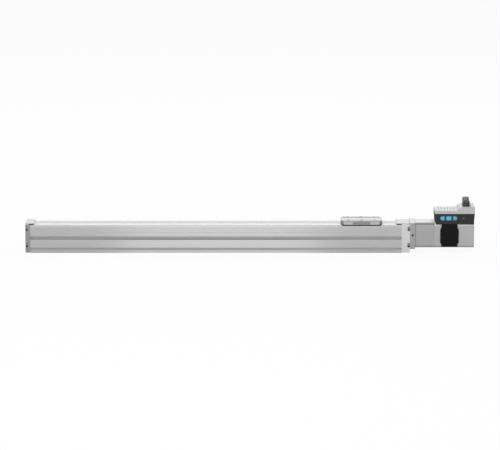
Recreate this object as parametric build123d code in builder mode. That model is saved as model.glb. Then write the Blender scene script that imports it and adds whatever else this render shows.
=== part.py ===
"""Ball screw linear axis: a slotted rail with a carriage, a square motor and a controller on top.

Frame: X runs along the rail towards the motor, Y runs to the rear, Z is up.
The origin is the centre of the rail's underside, at mid length of rail and end caps.
"""
import os

from build123d import *

os.makedirs("parts", exist_ok=True)

# Driving dimensions, in millimetres

# Travel and lengths along the rail
stroke = 500.0
room_left = 25.3
room_right = 33.1
end_cap_left_length = 8.4
end_cap_right_length = 13.8

# Rail profile
rail_width = 45.0
rail_height = 48.0
cavity_gap = 2.0
floor_thickness = 6.0
lip_thickness = 4.5
top_radius = 1.0
foot_chamfer = 0.6
sensor_groove_height = 5.8
sensor_groove_centre = 25.5
groove_back_wall = 2.4
sensor_undercut = 1.2
sensor_lip = 1.6
clamp_groove_height = 4.0
clamp_groove_bottom = 5.1
clamp_groove_depth = 3.2
mark_line_height = 35.0
mark_line_depth = 0.4
cap_screw_low = 13.2
cap_screw_top_inset = 6.5
cap_screw_grip = 9.0
cap_low = 0.5

# Cover strip and its clamps
strip_width = 19.0
strip_thickness = 0.6
strip_lift = 0.3
clamp_side_inset = 2.0
clamp_plate_top = 1.8
clamp_reach_left = 6.3
clamp_reach_right = 9.0
clamp_corner = 2.0
clamp_relief = 0.5
clamp_screw_inset = 3.0
clamp_screw_length = 5.0

# Guide rail and runner
guide_width = 12.0
guide_height = 8.0
guide_track_depth = 1.0
guide_track_height = 2.4
guide_track_rise = 5.4
guide_end_gap = 2.0
guide_screw_pitch = 100.0
guide_screw_margin = 40.0
guide_screw_grip = 4.0
runner_width = 27.0
runner_height = 13.0
runner_ground_gap = 3.0
runner_steel_length = 44.0
runner_cap_length = 5.0
runner_screw_x = 19.0
runner_screw_y = 11.6
runner_screw_grip = 5.0

# Carriage
carriage_length = 69.4
table_side_inset = 1.0
table_thickness = 5.9
wiper_thickness = 1.0
wiper_inset = 0.4
table_top_plate = 4.4
table_corner = 4.5
table_edge = 0.9
table_hole_x = 22.0
table_hole_y = 15.5
table_hole_radius = 1.65
centring_radius = 2.5
centring_depth = 2.5
lube_pocket_length = 29.0
lube_pocket_height = 4.0
lube_pocket_depth = 2.5
lube_pocket_radius = 2.5
yoke_length = 58.0
arm_length = 30.0
arm_wall = 1.9
foot_width = 7.7
foot_thickness = 2.5
table_screw_x = 9.0
table_screw_length = 5.0
guide_piece_length = 5.0

# Ball screw, nut and bearings
axis_height = 30.0
screw_radius = 5.0
screw_lead = 10.0
journal_radius = 4.0
drive_journal_radius = 3.0
nut_radius = 9.5
nut_turns = 3
nut_flange_radius = 13.5
nut_flange_thickness = 5.0
nut_flat_height = 10.0
nut_ball_zone_radius = 7.6
nut_wiper_length = 3.0
nut_screw_y = 11.2
nut_screw_z = 4.0
nut_screw_length = 10.0
fixed_bearing_radius = 11.0
fixed_bearing_width = 9.0
fixed_bearing_back_wall = 2.0
back_wall_bore = 7.0
bearing_shield = 0.8
floating_bearing_radius = 8.0
floating_bearing_width = 5.0
inner_ring_wall = 1.6
retainer_radius = 14.0
retainer_thickness = 2.4
retainer_bore = 9.0
locknut_radius = 7.0
locknut_length = 4.6
locknut_slot = 2.0
journal_shoulder = 1.0
bumper_radius = 9.0
bumper_length = 8.0
bumper_bore = 6.2

# Motor end
flange_length = 9.0
flange_above = 21.4
flange_below = 23.4
access_hole_radius = 1.8
drive_bore_radius = 15.0
flange_screw_y = 12.0
flange_screw_inset = 3.0
flange_screw_grip = 9.2
motor_width = 42.3
motor_length = 66.8
motor_chamfer = 3.5
motor_wall = 3.15
motor_rear_wall = 5.5
motor_screw_edge = 5.65
motor_thread_depth = 5.0
bell_length = 6.3
bell_bore_gap = 2.0
motor_shaft_radius = 2.5
motor_bearing_radius = 8.0
motor_bearing_width = 4.5
stator_length = 44.0
stator_start = 10.5
stator_wall = 6.1
stator_slots = 8
stator_slot_width = 2.0
stator_slot_depth = 4.5
rotor_gap = 0.4
rotor_length = 40.0
winding_inset = 1.0
winding_length = 3.0
coupling_radius = 12.4
coupling_hub_length = 11.0
coupling_jaw_length = 4.9
coupling_start = 2.5
coupling_end_gap = 3.0
spider_arm = 4.6
spider_core = 5.0
hub_slit = 1.5
encoder_magnet_radius = 6.0
encoder_magnet_length = 2.0

# Connection cover on the front of the motor
cover_from_right = 42.7
cover_wide = 31.0
cover_neck = 27.0
cover_bottom_rise = 1.65
cover_low_rise = 7.15
cover_high_drop = 8.75
cover_thickness = 3.0
cover_neck_thickness = 1.9
cover_shoulder = 1.6

# Controller
controller_length = 67.6
controller_end_gap = 0.9
front_overhang = 0.85
back_overhang = 0.25
controller_taper = 1.3
skirt_drop = 1.75
seam_rise = 15.85
controller_wall = 2.0
controller_corner = 2.0
low_top_rise = 20.85
high_top_rise = 26.85
ramp_from_right = 21.4
ramp_length = 12.0
cover_edge = 1.0
label_length = 29.5
label_depth = 35.0
label_inset = 3.5
label_thickness = 0.3
label_corner = 2.0
keys_from_right = 44.0
key_height = 7.2
key_rise = 8.25
key_side_width = 7.6
key_middle_width = 9.8
key_spacing = 1.7
key_end_radius = 3.5
key_small_radius = 0.6
key_proud = 0.5
key_gap = 0.25
key_travel = 0.6
key_flange = 0.8
key_flange_thickness = 0.8
key_mat_thickness = 0.8
key_board_length = 48.0
key_board_rise = 3.35
light_from_right = 19.2
light_radius = 1.2
light_proud = 0.15
board_rise = 13.05
board_thickness = 1.6
chip_size = 10.0
chip_height = 1.2
chip_spot = (-12.0, 4.0)
capacitor_radius = 2.5
capacitor_height = 3.0
capacitor_pitch = 7.0
capacitor_spot = (2.0, 6.0)
post_radius = 2.8
cover_screw_inset_x = 6.5
cover_screw_inset_y = 5.8
cover_screw_grip = 8.0
socket_from_right = 13.9
socket_front_y = -7.5
socket_pitch = 18.0
socket_radius = 6.0
socket_base_radius = 7.0
socket_base_height = 1.2
socket_heights = (8.9, 12.1)
socket_wall = 1.3
socket_insert_drop = 0.8
socket_tail = 5.0
socket_hole_circle = 2.3
socket_hole_radius = 0.55
socket_hole_depth = 3.0

# Screws: shank radius, head radius and head height
m25_shank = 1.25
m25_head = 2.25
m25_head_height = 2.5
m3_shank = 1.5
m3_head = 2.75
m3_head_height = 3.0
m4_shank = 2.0
m4_head = 3.5
m4_head_height = 4.0
hex_share = 0.45
hex_depth_share = 0.6

# Clearances
seat_gap = 0.02
running_gap = 0.3
hole_gap = 0.2
counterbore_gap = 1.5
yoke_side_gap = 1.0
yoke_top_gap = 0.5
nut_seat_gap = 0.1
strip_side_gap = 0.3
table_rail_gap = 0.3
thread_end_gap = 0.5

# Places worked out from the driving dimensions

profile_length = stroke + carriage_length + room_left + room_right
axis_length = end_cap_left_length + profile_length + end_cap_right_length
profile_start = end_cap_left_length - axis_length / 2
profile_end = profile_start + profile_length
profile_middle = (profile_start + profile_end) / 2
left_end = -axis_length / 2
right_end = axis_length / 2
carriage_x = profile_end - room_right - carriage_length / 2

cavity_half = runner_width / 2 + cavity_gap
sensor_groove_depth = rail_width / 2 - cavity_half - groove_back_wall
lip_bottom = rail_height - lip_thickness
strip_bottom = rail_height + strip_lift
strip_top = strip_bottom + strip_thickness
arm_inner = strip_width / 2 + strip_side_gap
arm_outer = arm_inner + arm_wall
opening_half = arm_outer + running_gap
cap_screw_y = (cavity_half + rail_width / 2) / 2
cap_screw_high = rail_height - cap_screw_top_inset
cap_screw_rise = cap_screw_high - cap_screw_low
cap_screw_middle = (cap_screw_high + cap_screw_low) / 2
flange_screw_z = rail_height - axis_height - flange_screw_inset
clamp_top = strip_top + clamp_plate_top
clamp_plate_width = rail_width - 2 * clamp_side_inset
clamp_screw_y = (strip_width / 2 + clamp_plate_width / 2) / 2
clamp_screw_left_x = profile_start - clamp_screw_inset
clamp_screw_right_x = profile_end + clamp_screw_inset

runner_top = floor_thickness + runner_height
guide_top = floor_thickness + guide_height
yoke_half = cavity_half - yoke_side_gap
yoke_top = lip_bottom - yoke_top_gap
table_width = rail_width - 2 * table_side_inset
wiper_bottom = rail_height + table_rail_gap
table_bottom = wiper_bottom + wiper_thickness
table_top = table_bottom + table_thickness
foot_top = table_top - table_top_plate
foot_bottom = foot_top - foot_thickness
foot_outer = arm_inner + foot_width
table_left = carriage_x - carriage_length / 2
table_right = carriage_x + carriage_length / 2
yoke_left = carriage_x - yoke_length / 2

coupling_length = 2 * coupling_hub_length + coupling_jaw_length + running_gap
housing_length = coupling_start + coupling_length + coupling_end_gap
flange_start = right_end
housing_start = flange_start + flange_length
motor_start = housing_start + housing_length
motor_end = motor_start + motor_length
motor_top = axis_height + motor_width / 2
motor_bottom = axis_height - motor_width / 2
motor_screw_offset = motor_width / 2 - motor_screw_edge
motor_front = -motor_width / 2
motor_bore = motor_width / 2 - motor_wall
stator_bore = motor_bore - stator_wall

controller_right = motor_end + controller_end_gap
controller_left = controller_right - controller_length
controller_floor = motor_top + controller_wall
controller_skirt = motor_top - skirt_drop
controller_seam = motor_top + seam_rise
low_top = motor_top + low_top_rise
high_top = motor_top + high_top_rise
board_bottom = motor_top + board_rise
key_centre_z = motor_top + key_rise
key_board_low = motor_top + key_board_rise
controller_front = motor_width / 2 + front_overhang
controller_back = motor_width / 2 + back_overhang
controller_middle_x = (controller_left + controller_right) / 2
controller_middle_y = (controller_back - controller_front) / 2
controller_depth = controller_front + controller_back
cover_centre_x = controller_right - cover_from_right
cover_bottom = motor_bottom + cover_bottom_rise
cover_wide_low = motor_bottom + cover_low_rise
cover_wide_high = motor_top - cover_high_drop
key_row_x = controller_right - keys_from_right
ramp_end = controller_right - ramp_from_right
ramp_start = ramp_end - ramp_length


def yz_plane(x):
    """A plane across the rail: its own x is the part's Y, its own y the part's Z."""
    return Plane.YZ.offset(x)


def socket_head_screw(plane, shank, head, head_height, length):
    """A socket head cap screw whose head sits on the plane and whose shank runs down from it."""
    with BuildPart() as screw:
        with BuildSketch(plane):
            Circle(head)
        extrude(amount=head_height)
        with BuildSketch(plane.offset(head_height)):
            RegularPolygon(head * hex_share, 6)
        extrude(amount=-head_height * hex_depth_share, mode=Mode.SUBTRACT)
        with BuildSketch(plane):
            Circle(shank)
        extrude(amount=-length)
    return screw.part


def save(part, name):
    """Labels a finished piece and writes it to its own file."""
    part.label = name
    export_step(part, f"parts/{name}.step")


# Rail profile, extruded along X with its side grooves, inner channel and screw channels
with BuildPart() as profile:
    with BuildSketch(yz_plane(profile_start)) as section:
        with Locations((0, rail_height / 2)):
            Rectangle(rail_width, rail_height)
        fillet(section.vertices().group_by(Axis.Y)[-1], top_radius)
        chamfer(section.vertices().group_by(Axis.Y)[0], foot_chamfer)
        with Locations((0, (floor_thickness + lip_bottom) / 2)):
            Rectangle(2 * cavity_half, lip_bottom - floor_thickness, mode=Mode.SUBTRACT)
        with Locations((0, rail_height - lip_thickness / 2)):
            Rectangle(2 * opening_half, lip_thickness, mode=Mode.SUBTRACT)
        for side in (-1, 1):
            face = side * rail_width / 2
            with Locations((face - side * sensor_groove_depth / 2, sensor_groove_centre)):
                Rectangle(sensor_groove_depth, sensor_groove_height, mode=Mode.SUBTRACT)
            undercut_depth = sensor_groove_depth - sensor_lip
            with Locations((face - side * (sensor_lip + undercut_depth / 2), sensor_groove_centre)):
                Rectangle(undercut_depth, sensor_groove_height + 2 * sensor_undercut,
                          mode=Mode.SUBTRACT)
            with Locations((face - side * clamp_groove_depth / 2,
                            clamp_groove_bottom + clamp_groove_height / 2)):
                Rectangle(clamp_groove_depth, clamp_groove_height, mode=Mode.SUBTRACT)
            with Locations((face, mark_line_height)):
                RegularPolygon(mark_line_depth, 4, mode=Mode.SUBTRACT)
        with Locations((0, cap_screw_middle)):
            with GridLocations(2 * cap_screw_y, cap_screw_rise, 2, 2):
                Circle(m4_shank + seat_gap, mode=Mode.SUBTRACT)
    extrude(amount=profile_length)
    guide_length = profile_length - 2 * guide_end_gap
    screw_span = guide_length - 2 * guide_screw_margin
    guide_screw_count = int(screw_span // guide_screw_pitch) + 1
    with Locations(Plane.XY.offset(floor_thickness)):
        with Locations((profile_middle, 0)):
            with GridLocations(guide_screw_pitch, 1, guide_screw_count, 1):
                Hole(m3_shank + seat_gap, depth=guide_screw_grip + thread_end_gap)
save(profile.part, "profile")

# Guide rail on the channel floor, with a ball track in each side
with BuildPart() as guide_rail:
    with BuildSketch(yz_plane(profile_start + guide_end_gap)):
        with Locations((0, floor_thickness + guide_height / 2)):
            Rectangle(guide_width, guide_height)
        track_z = floor_thickness + guide_track_rise
        for side in (-1, 1):
            with BuildLine():
                outer = side * guide_width / 2
                top_corner = (outer, track_z + guide_track_height / 2)
                low_corner = (outer, track_z - guide_track_height / 2)
                ThreePointArc(top_corner, (outer - side * guide_track_depth, track_z), low_corner)
                Line(low_corner, top_corner)
            make_face(mode=Mode.SUBTRACT)
    extrude(amount=guide_length)
    with Locations(Plane.XY.offset(guide_top)):
        with Locations((profile_middle, 0)):
            with GridLocations(guide_screw_pitch, 1, guide_screw_count, 1):
                CounterBoreHole(m3_shank + hole_gap, m3_head + hole_gap, m3_head_height + hole_gap)
save(guide_rail.part, "guide_rail")

with BuildPart() as guide_rail_screws:
    seat_z = guide_top - m3_head_height - hole_gap
    shank_length = seat_z - floor_thickness + guide_screw_grip
    screw = socket_head_screw(Plane.XY.offset(seat_z), m3_shank, m3_head, m3_head_height, shank_length)
    with Locations((profile_middle, 0)):
        with GridLocations(guide_screw_pitch, 1, guide_screw_count, 1):
            add(screw)
save(guide_rail_screws.part, "guide_rail_screws")

# Left end cap: a plate with the floating bearing's seat and four notched screw seats
cap_height = strip_bottom - cap_low
cap_centre_z = cap_low + cap_height / 2
left_seat = left_end + m4_head_height + hole_gap
with BuildPart() as end_cap_left:
    with BuildSketch(yz_plane(left_end)) as plate:
        with Locations((0, cap_centre_z)):
            Rectangle(rail_width, cap_height)
        fillet(plate.vertices(), foot_chamfer)
    extrude(amount=end_cap_left_length)
    with BuildSketch(yz_plane(profile_start)):
        with Locations((0, axis_height)):
            Circle(floating_bearing_radius + seat_gap)
    extrude(amount=-floating_bearing_width, mode=Mode.SUBTRACT)
    with BuildSketch(yz_plane(left_end)):
        with Locations((0, cap_screw_middle)):
            with GridLocations(2 * cap_screw_y, cap_screw_rise, 2, 2):
                Circle(m4_head + counterbore_gap)
    extrude(amount=m4_head_height + hole_gap, mode=Mode.SUBTRACT)
    with BuildSketch(yz_plane(left_end)):
        with Locations((0, cap_screw_middle)):
            with GridLocations(2 * cap_screw_y, cap_screw_rise, 2, 2):
                Circle(m4_shank + hole_gap)
    extrude(amount=end_cap_left_length, mode=Mode.SUBTRACT)
    with Locations(Plane.XY.offset(clamp_top)):
        with Locations((clamp_screw_left_x, 0)):
            with GridLocations(1, 2 * clamp_screw_y, 1, 2):
                Hole(m25_shank + seat_gap, depth=clamp_screw_length)
save(end_cap_left.part, "end_cap_left")

with BuildPart() as end_cap_screws_left:
    seat = Plane(origin=(left_seat, 0, cap_screw_middle), x_dir=(0, -1, 0), z_dir=(-1, 0, 0))
    shank_length = profile_start - left_seat + cap_screw_grip
    screw = socket_head_screw(Plane.XY, m4_shank, m4_head, m4_head_height, shank_length)
    with Locations(seat):
        with GridLocations(2 * cap_screw_y, cap_screw_rise, 2, 2):
            add(screw)
save(end_cap_screws_left.part, "end_cap_screws_left")

# Right end cap: the fixed bearing's housing, with the bearing and its retainer set in from the motor side
bearing_start = profile_end + fixed_bearing_back_wall
bearing_end = bearing_start + fixed_bearing_width
retainer_end = bearing_end + retainer_thickness
right_seat = right_end - m4_head_height - hole_gap
with BuildPart() as end_cap_right:
    with BuildSketch(yz_plane(profile_end)) as plate:
        with Locations((0, cap_centre_z)):
            Rectangle(rail_width, cap_height)
        fillet(plate.vertices(), foot_chamfer)
    extrude(amount=end_cap_right_length)
    with BuildSketch(yz_plane(profile_end)):
        with Locations((0, axis_height)):
            Circle(back_wall_bore)
    extrude(amount=end_cap_right_length, mode=Mode.SUBTRACT)
    with BuildSketch(yz_plane(bearing_start)):
        with Locations((0, axis_height)):
            Circle(fixed_bearing_radius + seat_gap)
    extrude(amount=fixed_bearing_width + retainer_thickness, mode=Mode.SUBTRACT)
    with BuildSketch(yz_plane(bearing_end)):
        with Locations((0, axis_height)):
            Circle(retainer_radius + seat_gap)
    extrude(amount=right_end - bearing_end, mode=Mode.SUBTRACT)
    with BuildSketch(yz_plane(right_seat)):
        with Locations((0, cap_screw_middle)):
            with GridLocations(2 * cap_screw_y, cap_screw_rise, 2, 2):
                Circle(m4_head + counterbore_gap)
    extrude(amount=right_end - right_seat, mode=Mode.SUBTRACT)
    with BuildSketch(yz_plane(profile_end)):
        with Locations((0, cap_screw_middle)):
            with GridLocations(2 * cap_screw_y, cap_screw_rise, 2, 2):
                Circle(m4_shank + hole_gap)
        with Locations((0, axis_height)):
            with GridLocations(2 * flange_screw_y, 2 * flange_screw_z, 2, 2):
                Circle(m4_shank + seat_gap)
    extrude(amount=end_cap_right_length, mode=Mode.SUBTRACT)
    with Locations(Plane.XY.offset(clamp_top)):
        with Locations((clamp_screw_right_x, 0)):
            with GridLocations(1, 2 * clamp_screw_y, 1, 2):
                Hole(m25_shank + seat_gap, depth=clamp_screw_length)
save(end_cap_right.part, "end_cap_right")

with BuildPart() as end_cap_screws_right:
    seat = Plane(origin=(right_seat, 0, cap_screw_middle), x_dir=(0, 1, 0), z_dir=(1, 0, 0))
    shank_length = right_seat - profile_end + cap_screw_grip
    screw = socket_head_screw(Plane.XY, m4_shank, m4_head, m4_head_height, shank_length)
    with Locations(seat):
        with GridLocations(2 * cap_screw_y, cap_screw_rise, 2, 2):
            add(screw)
save(end_cap_screws_right.part, "end_cap_screws_right")

# Cover strip, stretched straight between the end caps
with BuildPart() as cover_strip:
    with BuildSketch(Plane.XY.offset(strip_bottom)):
        Rectangle(axis_length - 2 * clamp_corner, strip_width)
    extrude(amount=strip_thickness)
save(cover_strip.part, "cover_strip")


def strip_clamp(outer_end, inner_end):
    """A thin plate that holds the strip down on an end cap and reaches out over the rail."""
    low_x, high_x = min(outer_end, inner_end), max(outer_end, inner_end)
    top = strip_top + clamp_plate_top
    with BuildPart() as clamp:
        with BuildSketch(Plane.XY.offset(strip_bottom)) as outline:
            with Locations(((low_x + high_x) / 2, 0)):
                Rectangle(high_x - low_x, clamp_plate_width)
            fillet(outline.vertices(), clamp_corner)
        extrude(amount=top - strip_bottom)
        chamfer(clamp.faces().sort_by(Axis.Z)[-1].edges(), clamp_relief)
        with BuildSketch(Plane.XY.offset(strip_bottom)):
            Rectangle(2 * axis_length, strip_width + 2 * strip_side_gap)
        extrude(amount=strip_thickness, mode=Mode.SUBTRACT)
        with BuildSketch(Plane.XY.offset(strip_bottom)):
            with Locations((profile_middle, 0)):
                Rectangle(profile_length, rail_width)
        extrude(amount=strip_thickness + clamp_relief, mode=Mode.SUBTRACT)
    return clamp.part


clamp_seats = {
    "left": (strip_clamp(left_end, profile_start + clamp_reach_left), clamp_screw_left_x),
    "right": (strip_clamp(right_end, profile_end - clamp_reach_right), clamp_screw_right_x),
}
for side, (plate, screw_x) in clamp_seats.items():
    with BuildPart() as clamp:
        add(plate)
        with Locations(Plane.XY.offset(clamp_top)):
            with Locations((screw_x, 0)):
                with GridLocations(1, 2 * clamp_screw_y, 1, 2):
                    CounterSinkHole(m25_shank + hole_gap, m25_head + hole_gap, counter_sink_angle=90)
    save(clamp.part, f"strip_clamp_{side}")

# Countersunk screws of both strip clamps
with BuildPart() as countersunk:
    with BuildSketch(Plane.XZ) as half:
        with BuildLine():
            Polyline((0, 0), (m25_head, 0), (m25_shank, m25_shank - m25_head),
                     (m25_shank, -clamp_screw_length), (0, -clamp_screw_length), close=True)
        make_face()
    revolve(axis=Axis.Z)
    with BuildSketch(Plane.XY):
        RegularPolygon(m25_head * hex_share, 6)
    extrude(amount=-m25_head * hex_share, mode=Mode.SUBTRACT)
with BuildPart() as clamp_screws:
    for screw_x in (clamp_screw_left_x, clamp_screw_right_x):
        with Locations((screw_x, 0, clamp_top)):
            with GridLocations(1, 2 * clamp_screw_y, 1, 2):
                add(countersunk.part)
save(clamp_screws.part, "clamp_screws")


def tube(start, length, outer, inner, centre_z=axis_height):
    """A ring along X round the screw's axis."""
    with BuildPart() as ring:
        with BuildSketch(yz_plane(start)):
            with Locations((0, centre_z)):
                Circle(outer)
                Circle(inner, mode=Mode.SUBTRACT)
        extrude(amount=length)
    return ring.part


# Rubber end stops in the channel, seated on both end caps
save(tube(profile_start, bumper_length, bumper_radius, bumper_bore), "bumper_left")
save(tube(profile_end - bumper_length, bumper_length, bumper_radius, bumper_bore), "bumper_right")


def bearing_rings(start, width, outer_radius, bore_radius):
    """A shielded bearing's outer ring, with its shields, and its inner ring."""
    inner_land = bore_radius + inner_ring_wall
    outer_land = outer_radius - inner_ring_wall
    with BuildPart() as outer:
        with BuildSketch(yz_plane(start)):
            with Locations((0, axis_height)):
                Circle(outer_radius)
                Circle(inner_land + running_gap, mode=Mode.SUBTRACT)
        extrude(amount=width)
        with BuildSketch(yz_plane(start + bearing_shield)):
            with Locations((0, axis_height)):
                Circle(outer_land)
        extrude(amount=width - 2 * bearing_shield, mode=Mode.SUBTRACT)
    return outer.part, tube(start, width, inner_land, bore_radius + seat_gap)


outer_ring, inner_ring = bearing_rings(profile_start - floating_bearing_width, floating_bearing_width,
                                       floating_bearing_radius, journal_radius)
save(outer_ring, "floating_bearing_outer")
save(inner_ring, "floating_bearing_inner")
outer_ring, inner_ring = bearing_rings(bearing_start, fixed_bearing_width,
                                       fixed_bearing_radius, journal_radius)
save(outer_ring, "fixed_bearing_outer")
save(inner_ring, "fixed_bearing_inner")

# Retainer ring that holds the fixed bearing in its housing
save(tube(bearing_end, retainer_thickness, retainer_radius, retainer_bore), "bearing_retainer")

# Ball screw: the threaded length as its outer cylinder, and the turned journals
journal_end = housing_start + coupling_start + coupling_hub_length
left_journal_length = floating_bearing_width - running_gap
screw_thread_start = profile_start
screw_thread_end = bearing_start
shoulder_x = bearing_end + locknut_length + journal_shoulder
with BuildPart() as ball_screw:
    with BuildSketch(Plane.XZ) as half:
        with BuildLine():
            Polyline(
                (screw_thread_start - left_journal_length, axis_height),
                (screw_thread_start - left_journal_length, axis_height + journal_radius),
                (screw_thread_start, axis_height + journal_radius),
                (screw_thread_start, axis_height + screw_radius),
                (screw_thread_end, axis_height + screw_radius),
                (screw_thread_end, axis_height + journal_radius),
                (shoulder_x, axis_height + journal_radius),
                (shoulder_x, axis_height + drive_journal_radius),
                (journal_end, axis_height + drive_journal_radius),
                (journal_end, axis_height),
                close=True,
            )
        make_face()
    revolve(axis=Axis((0, 0, axis_height), (1, 0, 0)))
save(ball_screw.part, "ball_screw")

# Slotted locknut that clamps the fixed bearing's inner ring
with BuildPart() as screw_locknut:
    with BuildSketch(yz_plane(bearing_end)):
        with Locations((0, axis_height)):
            Circle(locknut_radius)
            Circle(journal_radius + seat_gap, mode=Mode.SUBTRACT)
            with PolarLocations(locknut_radius, 4):
                Rectangle(locknut_slot, locknut_slot, mode=Mode.SUBTRACT)
    extrude(amount=locknut_length)
save(screw_locknut.part, "screw_locknut")

# Ball nut: a flanged nut with two flats, a wide ball zone inside and a wiper lip at each end
nut_start = yoke_left - nut_flange_thickness
nut_length = nut_turns * screw_lead
with BuildPart() as ball_nut:
    with BuildSketch(yz_plane(nut_start)) as flange:
        with Locations((0, axis_height)):
            Circle(nut_flange_radius)
            Rectangle(2 * nut_flange_radius, 2 * nut_flat_height, mode=Mode.INTERSECT)
            with GridLocations(2 * nut_screw_y, 2 * nut_screw_z, 2, 2):
                Circle(m25_shank + hole_gap, mode=Mode.SUBTRACT)
    extrude(amount=nut_flange_thickness)
    with BuildSketch(yz_plane(nut_start + nut_flange_thickness)):
        with Locations((0, axis_height)):
            Circle(nut_radius)
    extrude(amount=nut_length)
    nut_total = nut_flange_thickness + nut_length
    with BuildSketch(yz_plane(nut_start)):
        with Locations((0, axis_height)):
            Circle(screw_radius + running_gap)
    extrude(amount=nut_total, mode=Mode.SUBTRACT)
    with BuildSketch(yz_plane(nut_start + nut_wiper_length)):
        with Locations((0, axis_height)):
            Circle(nut_ball_zone_radius)
    extrude(amount=nut_total - 2 * nut_wiper_length, mode=Mode.SUBTRACT)
save(ball_nut.part, "ball_nut")

with BuildPart() as nut_screws:
    seat = Plane(origin=(nut_start, 0, axis_height), x_dir=(0, -1, 0), z_dir=(-1, 0, 0))
    screw = socket_head_screw(Plane.XY, m25_shank, m25_head, m25_head_height, nut_screw_length)
    with Locations(seat):
        with GridLocations(2 * nut_screw_y, 2 * nut_screw_z, 2, 2):
            add(screw)
save(nut_screws.part, "nut_screws")

# Recirculating runner on the guide rail: a steel saddle and two plastic end caps
runner_bottom = floor_thickness + runner_ground_gap


def runner_section(start, length):
    """A length of the runner's saddle, open below to pass the rail."""
    with BuildPart() as saddle:
        with BuildSketch(yz_plane(start)) as outline:
            with Locations((0, (runner_bottom + runner_top) / 2)):
                Rectangle(runner_width, runner_top - runner_bottom)
            chamfer(outline.vertices(), foot_chamfer)
            slot_height = guide_top + running_gap - runner_bottom
            with Locations((0, runner_bottom + slot_height / 2)):
                Rectangle(guide_width + 2 * running_gap, slot_height, mode=Mode.SUBTRACT)
        extrude(amount=length)
    return saddle.part


runner_start = carriage_x - runner_steel_length / 2
with BuildPart() as runner_block:
    add(runner_section(runner_start, runner_steel_length))
    with Locations(Plane.XY.offset(runner_top)):
        with Locations((carriage_x, 0)):
            with GridLocations(2 * runner_screw_x, 2 * runner_screw_y, 2, 2):
                Hole(m25_shank + seat_gap, depth=runner_screw_grip + thread_end_gap)
save(runner_block.part, "runner_block")

with BuildPart() as runner_caps:
    add(runner_section(runner_start - runner_cap_length, runner_cap_length))
    add(runner_section(runner_start + runner_steel_length, runner_cap_length))
save(runner_caps.part, "runner_caps")

# Yoke: the block in the channel with two thin arms that pass the strip and end in feet
with BuildPart() as carriage_yoke:
    with BuildSketch(yz_plane(yoke_left)) as block:
        with Locations((0, (runner_top + yoke_top) / 2)):
            Rectangle(2 * yoke_half, yoke_top - runner_top)
        chamfer(block.vertices(), foot_chamfer)
        with Locations((0, axis_height)):
            Circle(nut_radius + nut_seat_gap, mode=Mode.SUBTRACT)
            with GridLocations(2 * nut_screw_y, 2 * nut_screw_z, 2, 2):
                Circle(m25_shank + seat_gap, mode=Mode.SUBTRACT)
    extrude(amount=yoke_length)
    with BuildSketch(yz_plane(carriage_x - arm_length / 2)):
        for side in (-1, 1):
            with Locations((side * (arm_inner + arm_wall / 2), (yoke_top + foot_top) / 2)):
                Rectangle(arm_wall, foot_top - yoke_top)
            with Locations((side * (arm_inner + foot_width / 2), foot_top - foot_thickness / 2)):
                Rectangle(foot_width, foot_thickness)
    extrude(amount=arm_length)
    with Locations(Plane.XY.offset(yoke_top)):
        with Locations((carriage_x, 0)):
            with GridLocations(2 * runner_screw_x, 2 * runner_screw_y, 2, 2):
                CounterBoreHole(m25_shank + hole_gap, m25_head + hole_gap, m25_head_height + hole_gap)
    foot_screw_y = (arm_outer + foot_outer) / 2
    foot_underside = Plane(origin=(carriage_x, 0, foot_bottom), x_dir=(1, 0, 0), z_dir=(0, 0, -1))
    with Locations(foot_underside):
        with GridLocations(2 * table_screw_x, 2 * foot_screw_y, 2, 2):
            CounterSinkHole(m25_shank + hole_gap, m25_head + hole_gap, depth=foot_thickness,
                            counter_sink_angle=90)
save(carriage_yoke.part, "carriage_yoke")

with BuildPart() as runner_screws:
    screw_drop = yoke_top - m25_head_height - hole_gap
    seat = Plane.XY.offset(screw_drop)
    screw = socket_head_screw(seat, m25_shank, m25_head, m25_head_height,
                              screw_drop - runner_top + runner_screw_grip)
    with Locations((carriage_x, 0)):
        with GridLocations(2 * runner_screw_x, 2 * runner_screw_y, 2, 2):
            add(screw)
save(runner_screws.part, "runner_screws")

# Carriage table: corner-cut plate over the rail, hollow below for the strip and the yoke's feet
with BuildPart() as carriage_table:
    with BuildSketch(Plane.XY.offset(table_bottom)) as outline:
        with Locations((carriage_x, 0)):
            Rectangle(carriage_length, table_width)
        chamfer(outline.vertices(), table_corner)
    extrude(amount=table_thickness)
    chamfer(carriage_table.faces().sort_by(Axis.Z)[-1].edges(), table_edge)
    with BuildSketch(Plane.XY.offset(table_bottom)):
        with Locations((carriage_x, 0)):
            Rectangle(carriage_length, 2 * (foot_outer + hole_gap))
    extrude(amount=foot_top - table_bottom, mode=Mode.SUBTRACT)
    with BuildSketch(Plane.XZ.offset(table_width / 2)) as pocket:
        with Locations((carriage_x, table_bottom + lube_pocket_height / 2)):
            Rectangle(lube_pocket_length, lube_pocket_height)
        fillet(pocket.vertices().group_by(Axis.Y)[-1], lube_pocket_radius)
    extrude(amount=-lube_pocket_depth, mode=Mode.SUBTRACT)
    with Locations(Plane.XY.offset(table_top)):
        with Locations((carriage_x, 0)):
            with GridLocations(2 * table_hole_x, 2 * table_hole_y, 2, 2):
                Hole(table_hole_radius, depth=table_thickness)
            with GridLocations(1, 2 * table_hole_y, 1, 2):
                Hole(centring_radius, depth=centring_depth)
    plate_underside = Plane(origin=(carriage_x, 0, foot_top), x_dir=(1, 0, 0), z_dir=(0, 0, -1))
    with Locations(plate_underside):
        with GridLocations(2 * table_screw_x, 2 * foot_screw_y, 2, 2):
            Hole(m25_shank + seat_gap, depth=table_screw_length - foot_thickness + running_gap)
save(carriage_table.part, "carriage_table")

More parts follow.
